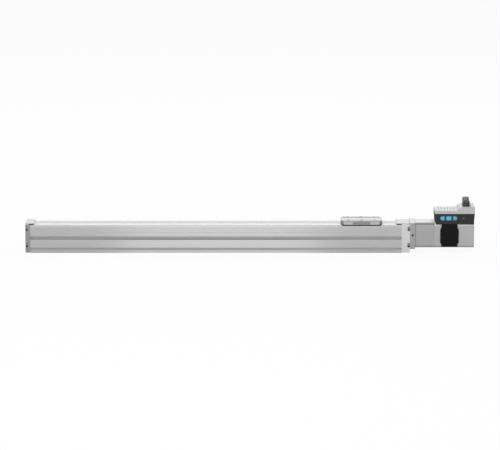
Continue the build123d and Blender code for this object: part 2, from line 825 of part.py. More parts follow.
# Countersunk screws that hold the table on the yoke's feet, put in from below
with BuildPart() as table_screw:
    with BuildSketch(Plane.XZ) as half:
        with BuildLine():
            Polyline((0, 0), (m25_head, 0), (m25_shank, m25_head - m25_shank),
                     (m25_shank, table_screw_length), (0, table_screw_length), close=True)
        make_face()
    revolve(axis=Axis.Z)
with BuildPart() as table_screws:
    with Locations((carriage_x, 0, foot_bottom)):
        with GridLocations(2 * table_screw_x, 2 * foot_screw_y, 2, 2):
            add(table_screw.part)
save(table_screws.part, "table_screws")

# Wiper frame under the table, with a block at each end that guides the strip through and closes the hollow
with BuildPart() as strip_guides:
    with BuildSketch(Plane.XY.offset(wiper_bottom)) as wiper:
        with Locations((carriage_x, 0)):
            Rectangle(carriage_length - 2 * wiper_inset, table_width - 2 * wiper_inset)
        chamfer(wiper.vertices(), table_corner)
        with Locations((carriage_x, 0)):
            Rectangle(carriage_length - 2 * (table_corner + guide_piece_length),
                      2 * (foot_outer + hole_gap), mode=Mode.SUBTRACT)
    extrude(amount=wiper_thickness)
    for end_x in (table_left + table_corner, table_right - table_corner - guide_piece_length):
        with BuildSketch(yz_plane(end_x)):
            with Locations((0, (wiper_bottom + foot_top) / 2)):
                Rectangle(2 * foot_outer, foot_top - wiper_bottom)
        extrude(amount=guide_piece_length)
    with BuildSketch(Plane.XY.offset(wiper_bottom)):
        with Locations((carriage_x, 0)):
            Rectangle(carriage_length, 2 * arm_inner)
    extrude(amount=strip_top + running_gap - wiper_bottom, mode=Mode.SUBTRACT)
save(strip_guides.part, "strip_guides")

# Motor flange: plate on the right end cap, bored for the drive, with the clamp access hole in front
flange_height = flange_above + flange_below
flange_centre_z = axis_height + (flange_above - flange_below) / 2
flange_seat = housing_start - m4_head_height - hole_gap
with BuildPart() as motor_flange:
    with BuildSketch(yz_plane(flange_start)) as plate:
        with Locations((0, flange_centre_z)):
            Rectangle(rail_width, flange_height)
        fillet(plate.vertices(), foot_chamfer)
        with Locations((0, axis_height)):
            Circle(drive_bore_radius, mode=Mode.SUBTRACT)
            with GridLocations(2 * flange_screw_y, 2 * flange_screw_z, 2, 2):
                Circle(m4_shank + hole_gap, mode=Mode.SUBTRACT)
    extrude(amount=flange_length)
    with BuildSketch(yz_plane(flange_seat)):
        with Locations((0, axis_height)):
            with GridLocations(2 * flange_screw_y, 2 * flange_screw_z, 2, 2):
                Circle(m4_head + hole_gap)
    extrude(amount=m4_head_height + hole_gap, mode=Mode.SUBTRACT)
    with BuildSketch(Plane.XZ.offset(rail_width / 2)):
        with Locations((flange_start + flange_length / 2, axis_height)):
            Circle(access_hole_radius)
    extrude(amount=-rail_width / 2, mode=Mode.SUBTRACT)
save(motor_flange.part, "motor_flange")

with BuildPart() as flange_screws:
    seat = Plane(origin=(flange_seat, 0, axis_height), x_dir=(0, 1, 0), z_dir=(1, 0, 0))
    shank_length = flange_seat - flange_start + flange_screw_grip
    screw = socket_head_screw(Plane.XY, m4_shank, m4_head, m4_head_height, shank_length)
    with Locations(seat):
        with GridLocations(2 * flange_screw_y, 2 * flange_screw_z, 2, 2):
            add(screw)
save(flange_screws.part, "flange_screws")


def motor_square(start, length):
    """A square section with cut corners, round the screw's axis."""
    with BuildPart() as square:
        with BuildSketch(yz_plane(start)) as outline:
            with Locations((0, axis_height)):
                Rectangle(motor_width, motor_width)
            chamfer(outline.vertices(), motor_chamfer)
        extrude(amount=length)
    return square.part


# Coupling housing, bored through, with the motor screws running along its corners
motor_screw_seat = housing_start + m3_head_height + hole_gap
with BuildPart() as coupling_housing:
    add(motor_square(housing_start, housing_length))
    with BuildSketch(yz_plane(housing_start)):
        with Locations((0, axis_height)):
            Circle(drive_bore_radius)
            with GridLocations(2 * motor_screw_offset, 2 * motor_screw_offset, 2, 2):
                Circle(m3_shank + hole_gap)
    extrude(amount=housing_length, mode=Mode.SUBTRACT)
    with BuildSketch(yz_plane(housing_start)):
        with Locations((0, axis_height)):
            with GridLocations(2 * motor_screw_offset, 2 * motor_screw_offset, 2, 2):
                Circle(m3_head + hole_gap)
    extrude(amount=m3_head_height + hole_gap, mode=Mode.SUBTRACT)
save(coupling_housing.part, "coupling_housing")

with BuildPart() as motor_screws:
    seat = Plane(origin=(motor_screw_seat, 0, axis_height), x_dir=(0, -1, 0), z_dir=(-1, 0, 0))
    shank_length = motor_start + motor_thread_depth - motor_screw_seat
    screw = socket_head_screw(Plane.XY, m3_shank, m3_head, m3_head_height, shank_length)
    with Locations(seat):
        with GridLocations(2 * motor_screw_offset, 2 * motor_screw_offset, 2, 2):
            add(screw)
save(motor_screws.part, "motor_screws")

# Motor body: a deep square cup, open towards the coupling, with the rear bearing's seat in its wall
rear_wall_start = motor_end - motor_rear_wall
with BuildPart() as motor_body:
    add(motor_square(motor_start, motor_length))
    with BuildSketch(yz_plane(motor_start)):
        with Locations((0, axis_height)):
            Circle(motor_bore)
    extrude(amount=motor_length - motor_rear_wall, mode=Mode.SUBTRACT)
    with BuildSketch(yz_plane(rear_wall_start)):
        with Locations((0, axis_height)):
            Circle(motor_bearing_radius + seat_gap)
    extrude(amount=motor_bearing_width, mode=Mode.SUBTRACT)
    with BuildSketch(yz_plane(motor_start)):
        with Locations((0, axis_height)):
            with GridLocations(2 * motor_screw_offset, 2 * motor_screw_offset, 2, 2):
                Circle(m3_shank + seat_gap)
    extrude(amount=motor_thread_depth + thread_end_gap, mode=Mode.SUBTRACT)
save(motor_body.part, "motor_body")

# Front bell that closes the motor and carries its front bearing
with BuildPart() as motor_front_bell:
    with BuildSketch(yz_plane(motor_start)):
        with Locations((0, axis_height)):
            Circle(motor_bore - seat_gap)
            Circle(motor_shaft_radius + bell_bore_gap, mode=Mode.SUBTRACT)
    extrude(amount=bell_length)
    with BuildSketch(yz_plane(motor_start + bell_length)):
        with Locations((0, axis_height)):
            Circle(motor_bearing_radius + seat_gap)
    extrude(amount=-motor_bearing_width, mode=Mode.SUBTRACT)
save(motor_front_bell.part, "motor_front_bell")

# Motor bearings, one in the front bell and one in the rear wall
front_bearing_start = motor_start + bell_length - motor_bearing_width
bearing_pair = [
    bearing_rings(start, motor_bearing_width, motor_bearing_radius, motor_shaft_radius)
    for start in (front_bearing_start, rear_wall_start)
]
for index, name in enumerate(("motor_bearings_outer", "motor_bearings_inner")):
    with BuildPart() as rings:
        for pair in bearing_pair:
            add(pair[index])
    save(rings.part, name)

# Stator stack with its toothed bore, and the winding heads at both ends of it
stack_start = motor_start + stator_start
with BuildPart() as motor_stator:
    with BuildSketch(yz_plane(stack_start)):
        with Locations((0, axis_height)):
            Circle(motor_bore - seat_gap)
            Circle(stator_bore, mode=Mode.SUBTRACT)
            with PolarLocations(stator_bore, stator_slots):
                Rectangle(2 * stator_slot_depth, stator_slot_width, mode=Mode.SUBTRACT)
    extrude(amount=stator_length)
save(motor_stator.part, "motor_stator")

with BuildPart() as motor_windings:
    for head_start in (stack_start - winding_length, stack_start + stator_length):
        add(tube(head_start, winding_length, motor_bore - winding_inset, stator_bore + winding_inset))
save(motor_windings.part, "motor_windings")

# Rotor and shaft
rotor_start = stack_start + (stator_length - rotor_length) / 2
save(tube(rotor_start, rotor_length, stator_bore - rotor_gap, motor_shaft_radius + seat_gap),
     "motor_rotor")
jaw_start = housing_start + coupling_start + coupling_hub_length
jaw_end = jaw_start + coupling_jaw_length + running_gap
shaft_start = jaw_end + running_gap
shaft_end = rear_wall_start + motor_bearing_width
with BuildPart() as motor_shaft:
    with BuildSketch(yz_plane(shaft_start)):
        with Locations((0, axis_height)):
            Circle(motor_shaft_radius)
    extrude(amount=shaft_end - shaft_start)
    chamfer(motor_shaft.edges().filter_by(GeomType.CIRCLE), hole_gap)
save(motor_shaft.part, "motor_shaft")
magnet_start = rear_wall_start - encoder_magnet_length - running_gap
save(tube(magnet_start, encoder_magnet_length, encoder_magnet_radius,
          motor_shaft_radius + seat_gap), "encoder_magnet")

# Plug-in jaw coupling: two clamping hubs with two jaws each, and the star between them


def axis_plane(x, up=False):
    """A plane across the rail, centred on the screw's axis, with its own x along Y or along Z."""
    return Plane(origin=(x, 0, axis_height), x_dir=(0, 0, 1) if up else (0, 1, 0), z_dir=(1, 0, 0))


def coupling_hub(start, jaw_base, jaw_length, bore, up):
    """A slit clamping hub with two jaws that reach from jaw_base towards the other hub."""
    reach = 2 * coupling_radius
    with BuildPart() as hub:
        with BuildSketch(axis_plane(start)):
            Circle(coupling_radius)
            Circle(bore + seat_gap, mode=Mode.SUBTRACT)
            with Locations((0, coupling_radius)):
                Rectangle(hub_slit, 2 * (coupling_radius - bore), mode=Mode.SUBTRACT)
        extrude(amount=coupling_hub_length)
        with BuildSketch(axis_plane(jaw_base, up)):
            Circle(coupling_radius)
            Circle(spider_core + hole_gap, mode=Mode.SUBTRACT)
            for way in (-1, 1):
                with BuildLine():
                    Polyline((0, 0), (reach, way * reach), (-reach, way * reach), close=True)
                make_face(mode=Mode.SUBTRACT)
            for slant in (45, -45):
                Rectangle(reach + coupling_radius, spider_arm + 2 * hole_gap, rotation=slant,
                          mode=Mode.SUBTRACT)
        extrude(amount=jaw_length)
    return hub.part


hub_start = housing_start + coupling_start
motor_hub_start = jaw_end
save(coupling_hub(hub_start, jaw_start, coupling_jaw_length, drive_journal_radius, False),
     "coupling_hub_screw")
save(coupling_hub(motor_hub_start, motor_hub_start, -coupling_jaw_length, motor_shaft_radius, True),
     "coupling_hub_motor")

with BuildPart() as coupling_spider:
    with BuildSketch(axis_plane(jaw_start + running_gap / 2)):
        for slant in (45, -45):
            Rectangle(2 * coupling_radius, spider_arm, rotation=slant)
        Circle(coupling_radius - hole_gap, mode=Mode.INTERSECT)
        Circle(spider_core)
        Circle(spider_core / 2, mode=Mode.SUBTRACT)
    extrude(amount=coupling_jaw_length)
save(coupling_spider.part, "coupling_spider")

# Connection cover: a black cover over the wiring, stepped in at both ends and standing on the motor
cover_middle_z = (cover_wide_low + cover_wide_high) / 2
cover_top = controller_skirt - hole_gap
with BuildPart() as connection_cover:
    with BuildSketch(Plane.XZ.offset(-motor_front)) as neck:
        with Locations((cover_centre_x, (cover_bottom + cover_top) / 2)):
            Rectangle(cover_neck, cover_top - cover_bottom)
    extrude(amount=cover_neck_thickness)
    with BuildSketch(Plane.XZ.offset(-motor_front)) as body:
        with Locations((cover_centre_x, cover_middle_z)):
            Rectangle(cover_wide, cover_wide_high - cover_wide_low)
        chamfer(body.vertices(), cover_shoulder)
    extrude(amount=cover_thickness)
    chamfer(connection_cover.faces().sort_by(Axis.Y)[0].edges(), cover_edge)
    with BuildSketch(Plane.YZ.offset(cover_centre_x - cover_wide / 2)) as behind:
        with Locations((0, axis_height)):
            Rectangle(motor_width, motor_width)
        chamfer(behind.vertices(), motor_chamfer)
    extrude(amount=cover_wide, mode=Mode.SUBTRACT)
save(connection_cover.part, "connection_cover")

# Controller housing: dark shell on the motor, tapered at its ends, skirted over the motor's cut corner
front_inner = -controller_front + controller_wall
pocket_length = controller_length - 2 * controller_wall - 2 * controller_taper
pocket_depth = controller_depth - 2 * controller_wall
screw_span_x = controller_length - 2 * cover_screw_inset_x
screw_span_y = controller_depth - 2 * cover_screw_inset_y


def key_outline(centre_x, width, rounded, grow=0.0):
    """A key's face in the panel, with its rounded side left, right or nowhere."""
    with BuildSketch() as key_face:
        with Locations((centre_x, key_centre_z)):
            Rectangle(width + 2 * grow, key_height + 2 * grow)
        groups = key_face.vertices().group_by(Axis.X)
        radii = {"left": (key_end_radius, key_small_radius), "right": (key_small_radius, key_end_radius),
                 "none": (key_small_radius, key_small_radius)}[rounded]
        fillet(groups[0], radii[0])
        fillet(key_face.vertices().group_by(Axis.X)[-1], radii[1])
    return key_face.sketch


side_key_offset = key_middle_width / 2 + key_spacing + key_side_width / 2
key_row_width = 2 * side_key_offset + key_side_width
key_shapes = {
    "key_left": (key_row_x - side_key_offset, key_side_width, "left"),
    "key_middle": (key_row_x, key_middle_width, "none"),
    "key_right": (key_row_x + side_key_offset, key_side_width, "right"),
}
light_x = controller_right - light_from_right

with BuildPart() as controller_housing:
    with BuildSketch(Plane.XZ.offset(controller_front)):
        with BuildLine():
            Polyline(
                (controller_left + controller_taper, controller_skirt),
                (controller_right - controller_taper, controller_skirt),
                (controller_right, controller_seam),
                (controller_left, controller_seam),
                close=True,
            )
        make_face()
    extrude(amount=-controller_depth)
    corners = controller_housing.edges().filter_by(GeomType.LINE)
    upright = corners.filter_by(lambda edge: abs(edge.tangent_at(0).Z) > 0.9)
    fillet(upright, controller_corner)
    with BuildSketch(Plane.XY.offset(controller_floor)):
        with Locations((controller_middle_x, controller_middle_y)):
            RectangleRounded(pocket_length, pocket_depth, controller_corner)
    extrude(amount=controller_seam - controller_floor, mode=Mode.SUBTRACT)
    with BuildSketch(Plane.XY.offset(controller_floor)):
        with Locations((controller_middle_x, controller_middle_y)):
            with GridLocations(screw_span_x, screw_span_y, 2, 2):
                Circle(post_radius)
                Circle(m25_shank + seat_gap, mode=Mode.SUBTRACT)
    extrude(amount=board_bottom - controller_floor)
    add(motor_square(controller_left, controller_length), mode=Mode.SUBTRACT)
    with BuildSketch(Plane.XZ.offset(controller_front)):
        for centre_x, width, rounded in key_shapes.values():
            add(key_outline(centre_x, width, rounded, grow=key_gap))
        with Locations((light_x, key_centre_z)):
            Circle(light_radius + seat_gap)
    extrude(amount=-controller_wall, mode=Mode.SUBTRACT)
save(controller_housing.part, "controller_housing")

# The three keys: caps that stand in the panel, each with a flange behind it that keeps it in
for name, (centre_x, width, rounded) in key_shapes.items():
    with BuildPart() as key:
        with BuildSketch(Plane.XZ.offset(controller_front + key_proud)):
            add(key_outline(centre_x, width, rounded))
        extrude(amount=-(key_proud + controller_wall + hole_gap))
        with BuildSketch(Plane.XZ.offset(-front_inner - hole_gap)):
            add(key_outline(centre_x, width, rounded, grow=key_flange))
        extrude(amount=-key_flange_thickness)
        chamfer(key.faces().sort_by(Axis.Y)[0].edges(), hole_gap)
    save(key.part, name)

# Rubber mat behind the keys, the small board that carries it, and the amber light in the panel
mat_front = front_inner + hole_gap + key_flange_thickness + key_travel + hole_gap
key_board_front = mat_front + key_mat_thickness
key_board_high = board_bottom - seat_gap
with BuildPart() as key_mat:
    with BuildSketch(Plane.XZ.offset(-key_board_front)):
        with Locations((key_row_x, key_centre_z)):
            Rectangle(key_row_width, key_height)
    extrude(amount=key_mat_thickness)
save(key_mat.part, "key_mat")

with BuildPart() as key_board:
    with BuildSketch(Plane.XZ.offset(-key_board_front)):
        with Locations((controller_middle_x, (key_board_low + key_board_high) / 2)):
            Rectangle(key_board_length, key_board_high - key_board_low)
    extrude(amount=-board_thickness)
save(key_board.part, "key_board")

with BuildPart() as status_light:
    with BuildSketch(Plane.XZ.offset(-key_board_front)):
        with Locations((light_x, key_centre_z)):
            Circle(light_radius)
    extrude(amount=controller_front + key_board_front + light_proud)
    fillet(status_light.faces().sort_by(Axis.Y)[0].edges(), light_proud)
save(status_light.part, "status_light")

# Electronics board on the housing's posts, with a few components on it
board_top = board_bottom + board_thickness
with BuildPart() as controller_board:
    with BuildSketch(Plane.XY.offset(board_bottom)):
        with Locations((controller_middle_x, controller_middle_y)):
            RectangleRounded(pocket_length - 2 * running_gap, pocket_depth - 2 * running_gap,
                             controller_corner)
            with GridLocations(screw_span_x, screw_span_y, 2, 2):
                Circle(m25_shank + hole_gap, mode=Mode.SUBTRACT)
    extrude(amount=board_thickness)
    with BuildSketch(Plane.XY.offset(board_top)):
        with Locations((controller_middle_x + chip_spot[0], controller_middle_y + chip_spot[1])):
            Rectangle(chip_size, chip_size)
    extrude(amount=chip_height)
    with BuildSketch(Plane.XY.offset(board_top)):
        with Locations((controller_middle_x + capacitor_spot[0], controller_middle_y + capacitor_spot[1])):
            with GridLocations(capacitor_pitch, 1, 2, 1):
                Circle(capacitor_radius)
    extrude(amount=capacitor_height)
save(controller_board.part, "controller_board")


def cover_side(inset, seam):
    """The cover's side view: a low part, an S-shaped ramp and a high part."""
    left = controller_left + inset
    right = controller_right - inset
    low = low_top - inset
    high = high_top - inset
    with BuildSketch() as side_view:
        with BuildLine():
            Line((left, low), (ramp_start + inset, low))
            Spline((ramp_start + inset, low), (ramp_end + inset, high), tangents=((1, 0), (1, 0)))
            Line((ramp_end + inset, high), (right, high))
            Polyline((right, high), (right, seam), (left, seam), (left, low))
        make_face()
    return side_view.sketch


# Controller cover: light shell with the low label part and the raised socket part
socket_x = controller_right - socket_from_right
socket_spots = [(socket_x, socket_front_y), (socket_x, socket_front_y + socket_pitch)]
cover_screw_seats = {
    low_top - m25_head_height - hole_gap: controller_middle_x - screw_span_x / 2,
    high_top - m25_head_height - hole_gap: controller_middle_x + screw_span_x / 2,
}
with BuildPart() as controller_cover:
    with BuildSketch(Plane.XZ.offset(controller_front)):
        add(cover_side(0.0, controller_seam))
    extrude(amount=-controller_depth)
    edges = controller_cover.edges().filter_by(GeomType.LINE)
    fillet(edges.filter_by(Axis.Z), controller_corner)
    with BuildSketch(Plane.XZ.offset(-front_inner)):
        add(cover_side(controller_wall, controller_seam))
    extrude(amount=-pocket_depth, mode=Mode.SUBTRACT)
    with BuildSketch(Plane.XY.offset(board_top)):
        with Locations((controller_middle_x, controller_middle_y)):
            with GridLocations(screw_span_x, screw_span_y, 2, 2):
                Circle(post_radius)
    extrude(until=Until.NEXT)
    for seat_z, screw_x in cover_screw_seats.items():
        with BuildSketch(Plane.XY.offset(seat_z)):
            with Locations((screw_x, controller_middle_y)):
                with GridLocations(1, screw_span_y, 1, 2):
                    Circle(m25_head + hole_gap)
        extrude(amount=high_top, mode=Mode.SUBTRACT)
        with BuildSketch(Plane.XY.offset(seat_z)):
            with Locations((screw_x, controller_middle_y)):
                with GridLocations(1, screw_span_y, 1, 2):
                    Circle(m25_shank + hole_gap)
        extrude(amount=-high_top, mode=Mode.SUBTRACT)
    with BuildSketch(Plane.XY.offset(high_top)):
        with Locations(*socket_spots):
            Circle(socket_radius + seat_gap)
    extrude(amount=-controller_wall, mode=Mode.SUBTRACT)
save(controller_cover.part, "controller_cover")

with BuildPart() as controller_screws:
    for seat_z, screw_x in cover_screw_seats.items():
        seat = Plane.XY.offset(seat_z)
        length = seat_z - board_bottom + cover_screw_grip
        screw = socket_head_screw(seat, m25_shank, m25_head, m25_head_height, length)
        with Locations((screw_x, controller_middle_y)):
            with GridLocations(1, screw_span_y, 1, 2):
                add(screw)
save(controller_screws.part, "controller_screws")

# Label plate on the low part of the cover
with BuildPart() as controller_label:
    with BuildSketch(Plane.XY.offset(low_top)):
        with Locations((controller_left + label_inset + label_length / 2, controller_middle_y)):
            RectangleRounded(label_length, label_depth, label_corner)
    extrude(amount=label_thickness)
save(controller_label.part, "controller_label")

# Upright round sockets: threaded shells with a base collar, and their inserts that stand on the board
for (x, y), height, name in zip(socket_spots, socket_heights, ("power", "logic")):
    with BuildPart() as shell:
        with BuildSketch(Plane.XY.offset(high_top - socket_tail)):
            with Locations((x, y)):
                Circle(socket_radius)
        extrude(amount=socket_tail + height)
        chamfer(shell.faces().sort_by(Axis.Z)[-1].edges(), hole_gap * 2)
        with BuildSketch(Plane.XY.offset(high_top)):
            with Locations((x, y)):
                Circle(socket_base_radius)
        extrude(amount=socket_base_height)
        with BuildSketch(Plane.XY.offset(high_top - socket_tail)):
            with Locations((x, y)):
                Circle(socket_radius - socket_wall)
        extrude(amount=socket_tail + height, mode=Mode.SUBTRACT)
    save(shell.part, f"socket_{name}")

with BuildPart() as socket_inserts:
    for (x, y), height in zip(socket_spots, socket_heights):
        insert_top = high_top + height - socket_insert_drop
        with BuildSketch(Plane.XY.offset(board_top)):
            with Locations((x, y)):
                Circle(socket_radius - socket_wall - seat_gap)
        extrude(amount=insert_top - board_top)
        with BuildSketch(Plane.XY.offset(insert_top)):
            with Locations((x, y)):
                with PolarLocations(socket_hole_circle, 4, start_angle=45):
                    Circle(socket_hole_radius)
        extrude(amount=-socket_hole_depth, mode=Mode.SUBTRACT)
save(socket_inserts.part, "socket_inserts")
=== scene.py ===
# %% [markdown]
# # A ball screw linear axis, dressed for the camera
# In a long slotted aluminium rail, a ball screw drives a carriage. A square motor with a small controller
# on top of it stands at the right end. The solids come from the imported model, in metres. This script gives
# them their finishes and adds what was left to the surface: the screw's groove, the sockets' threads,
# knurled screw heads, thin trim and small marks.

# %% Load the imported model
import math

import bmesh
import bpy
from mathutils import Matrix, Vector


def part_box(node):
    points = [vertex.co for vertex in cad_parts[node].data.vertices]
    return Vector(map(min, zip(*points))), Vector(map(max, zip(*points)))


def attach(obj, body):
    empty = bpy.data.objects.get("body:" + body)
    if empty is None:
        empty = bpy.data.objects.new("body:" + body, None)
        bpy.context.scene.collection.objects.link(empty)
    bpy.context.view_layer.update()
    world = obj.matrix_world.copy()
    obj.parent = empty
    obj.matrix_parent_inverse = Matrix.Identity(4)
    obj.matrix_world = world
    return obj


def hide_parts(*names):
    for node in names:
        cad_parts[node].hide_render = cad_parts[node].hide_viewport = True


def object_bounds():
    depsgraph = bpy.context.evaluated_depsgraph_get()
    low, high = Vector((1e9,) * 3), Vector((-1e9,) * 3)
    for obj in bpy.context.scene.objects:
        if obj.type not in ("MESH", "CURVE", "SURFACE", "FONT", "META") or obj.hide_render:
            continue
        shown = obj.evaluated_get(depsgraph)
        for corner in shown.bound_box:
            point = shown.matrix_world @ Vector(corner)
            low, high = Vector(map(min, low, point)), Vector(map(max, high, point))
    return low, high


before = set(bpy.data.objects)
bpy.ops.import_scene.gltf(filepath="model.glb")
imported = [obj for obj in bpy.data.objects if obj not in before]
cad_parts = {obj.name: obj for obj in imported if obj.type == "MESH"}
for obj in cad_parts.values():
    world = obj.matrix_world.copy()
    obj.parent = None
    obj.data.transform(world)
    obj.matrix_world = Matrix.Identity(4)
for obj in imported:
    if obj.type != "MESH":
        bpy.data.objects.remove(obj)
cad_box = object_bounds()
low_corner, high_corner = Vector(cad_box[0]), Vector(cad_box[1])
print("packed nodes", len(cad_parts), "size in metres", [round(v, 4) for v in high_corner - low_corner])


def add_object(name, data):
    """Puts a new object with this mesh, lamp or camera into the scene."""
    item = bpy.data.objects.new(name, data)
    bpy.context.scene.collection.objects.link(item)
    return item


# %% [markdown]
# ## One helper for node trees
# Materials and Geometry Nodes are both trees of nodes. Adding each node by hand takes many lines, so one
# small class holds a tree and adds a node in one call. What a node gives back is wrapped in a second
# class whose Python operators add Math nodes. A formula on sockets then reads like a formula on numbers.

# %% A socket that can be used in formulas


class Link:
    """One output socket. Each sum, product or other formula of it adds a Math node to its tree."""

    def __init__(self, tree, socket):
        self.tree = tree
        self.socket = socket

    def maths(self, operation, first, second=0.0):
        return self.tree.node("ShaderNodeMath", {"operation": operation}, {0: first, 1: second})

    def __add__(self, other):
        return self.maths("ADD", self, other)

    def __radd__(self, other):
        return self.maths("ADD", other, self)

    def __sub__(self, other):
        return self.maths("SUBTRACT", self, other)

    def __rsub__(self, other):
        return self.maths("SUBTRACT", other, self)

    def __mul__(self, other):
        return self.maths("MULTIPLY", self, other)

    def __rmul__(self, other):
        return self.maths("MULTIPLY", other, self)

    def __truediv__(self, other):
        return self.maths("DIVIDE", self, other)

    def __pow__(self, other):
        return self.maths("POWER", self, other)

    def __abs__(self):
        return self.maths("ABSOLUTE", self)

    def at_least(self, other):
        return self.maths("MAXIMUM", self, other)


# %% A node tree that grows by one method


class Tree:
    """A node tree. Its node method sets a node's settings first, then its inputs."""

    def __init__(self, nodes_and_links):
        self.tree = nodes_and_links

    def feed(self, socket, value):
        if isinstance(value, Link):
            self.tree.links.new(value.socket, socket)
        else:
            socket.default_value = value

    def add(self, kind, settings=None, inputs=None):
        node = self.tree.nodes.new(kind)
        for name, value in (settings or {}).items():
            setattr(node, name, value)
        for key, value in (inputs or {}).items():
            self.feed(node.inputs[key], value)
        return node

    def node(self, kind, settings=None, inputs=None, output=0):
        return Link(self, self.add(kind, settings, inputs).outputs[output])

    def fade(self, value, start, end, at_start, at_end):
        """Goes smoothly from one level to another while the value goes from start to end."""
        return self.node("ShaderNodeMapRange", {"interpolation_type": "SMOOTHSTEP"},
                         {0: value, 1: start, 2: end, 3: at_start, 4: at_end})

    def axes(self, vector):
        """The three numbers of a vector."""
        parts = self.add("ShaderNodeSeparateXYZ", None, {0: vector})
        return [Link(self, parts.outputs[index]) for index in range(3)]


# %% [markdown]
# ## Camera
# The picture is almost flat: the camera stands about five metres away, with a long lens, and looks down
# on the rail by a little over ten degrees. At that distance its far side looks as long as the near one.
# The lens follows from the scale that was measured.

# %% Place the camera
PICTURE_WIDTH = 500
PIXELS_PER_METRE = 592.3
CAMERA_DISTANCE = 5.3
CAMERA_ELEVATION = math.radians(10.5)
CAMERA_REACH = 100.0
AIM_DROP = 0.0010
SENSOR_WIDTH = 36.0

aim = (low_corner + high_corner) / 2 - Vector((0.0, 0.0, AIM_DROP))
camera_data = bpy.data.cameras.new("camera")
camera_data.sensor_width = SENSOR_WIDTH
front_distance = CAMERA_DISTANCE - abs(low_corner.y - aim.y)
camera_data.lens = PIXELS_PER_METRE * front_distance * SENSOR_WIDTH / PICTURE_WIDTH
camera_data.clip_end = CAMERA_REACH
camera = add_object("camera", camera_data)
toward_camera = Vector((0.0, -math.cos(CAMERA_ELEVATION), math.sin(CAMERA_ELEVATION)))
camera.location = aim + toward_camera * CAMERA_DISTANCE
camera.rotation_euler = toward_camera.to_track_quat("Z", "Y").to_euler()
bpy.context.scene.camera = camera
print("lens in millimetres", round(camera_data.lens, 1))

# %% [markdown]
# ## Light, floor and background
# Bare metal shows what stands round it. Here that is a white studio whose ceiling and side walls are
# darker, so flat faces look bright and rounded corners get the dark lines that make an edge readable.
# The background is white to the camera and in reflections through Light Path, while the light on the
# object stays at a plain level. Two broad lamps, one in front and one behind, give the soft shadows.

# %% The world and its light
WORLD_STRENGTH = 0.62
WORLD_GREY = (0.93, 0.94, 0.95, 1.0)
WHITE = (1.0, 1.0, 1.0, 1.0)
WALL_FADE = (0.35, 0.8)
WALL_LEVEL = 0.22
CEILING_FADE = (0.45, 0.85)
CEILING_LEVEL = 0.45


def kinds_of_ray(tree):
    """Two numbers: one for rays from the camera, also through glass, and one for reflections."""
    path = tree.add("ShaderNodeLightPath")
    straight = Link(tree, path.outputs["Is Camera Ray"]) + Link(tree, path.outputs["Is Transmission Ray"])
    return straight, Link(tree, path.outputs["Is Glossy Ray"])


bpy.context.scene.view_settings.view_transform = "Standard"
world = bpy.data.worlds.new("studio")
bpy.context.scene.world = world
world.use_nodes = True
sky = Tree(world.node_tree)
sky.tree.nodes.clear()
straight, mirrored = kinds_of_ray(sky)
sideways, _, upwards = sky.axes(sky.node("ShaderNodeTexCoord"))
walls = sky.fade(abs(sideways), *WALL_FADE, 1.0, WALL_LEVEL)
ceiling = sky.fade(upwards, *CEILING_FADE, 1.0, CEILING_LEVEL)
room = 1.0 - mirrored * (1.0 - walls * ceiling)
plain = sky.node("ShaderNodeBackground", None, {"Color": WORLD_GREY, "Strength": WORLD_STRENGTH})
white = sky.node("ShaderNodeBackground", None, {"Color": WHITE, "Strength": room})
shown = sky.node("ShaderNodeMixShader", None, {0: straight + mirrored, 1: plain, 2: white})
sky.add("ShaderNodeOutputWorld", None, {"Surface": shown})
print("world", world.name, "nodes", len(sky.tree.nodes))

# %% Two broad lamps that look at the object's middle: place, size and watts
LAMPS = {
    "key_lamp": ((-0.15, -1.5, 1.7), (1.6, 1.0), 21.0),
    "back_lamp": ((0.2, 1.6, 1.5), (1.8, 1.0), 15.0),
}

for name, (place, size, watts) in LAMPS.items():
    lamp_data = bpy.data.lights.new(name, "AREA")
    lamp_data.shape = "RECTANGLE"
    lamp_data.size, lamp_data.size_y = size
    lamp_data.energy = watts
    lamp = add_object(name, lamp_data)
    lamp.location = place
    lamp.rotation_euler = (Vector(place) - aim).to_track_quat("Z", "Y").to_euler()
print("lamps", list(LAMPS))

# %% The floor, which reflections see brightest below the object's middle
FLOOR_SIZE = 60.0
FLOOR_GAP = 0.0002
FLOOR_COLOUR = (0.82, 0.82, 0.82, 1.0)
FLOOR_WHITENESS = 0.93
FLOOR_DIM = 0.42
FLOOR_FADE = (0.12, 0.22)

floor_mesh = bpy.data.meshes.new("floor")
half = FLOOR_SIZE / 2
corners = [(-half, -half, 0.0), (half, -half, 0.0), (half, half, 0.0), (-half, half, 0.0)]
floor_mesh.from_pydata(corners, [], [(0, 1, 2, 3)])
floor = add_object("floor", floor_mesh)
floor.location.z = low_corner.z - FLOOR_GAP
floor_paint = bpy.data.materials.new("floor_paint")
floor_paint.use_nodes = True
paper = Tree(floor_paint.node_tree)
paper.tree.nodes.clear()
straight, mirrored = kinds_of_ray(paper)
floor_x = paper.axes(paper.node("ShaderNodeTexCoord", output=3))[0]
pool = paper.fade(abs(floor_x), *FLOOR_FADE, 1.0, FLOOR_DIM)
glow_level = 1.0 - mirrored * (1.0 - pool)
pale = paper.node("ShaderNodeBsdfDiffuse", None, {"Color": FLOOR_COLOUR})
glow = paper.node("ShaderNodeEmission", None, {"Color": WHITE, "Strength": glow_level})
share = (straight + mirrored) * FLOOR_WHITENESS
shown = paper.node("ShaderNodeMixShader", None, {0: share, 1: pale, 2: glow})
paper.add("ShaderNodeOutputMaterial", None, {"Surface": shown})
floor_mesh.materials.append(floor_paint)
print("floor at", round(floor.location.z, 4))

# %% [markdown]
# ## How a finish is built
# Every finish is one Principled shader. Numbers that are the same all over the surface are set on it
# directly. What changes over the surface, such as drawing marks or cast grain, is made from noise that
# is read at the object's own coordinates, so that it stays put on the piece in every view.

# %% A finish: one Principled shader and its noise


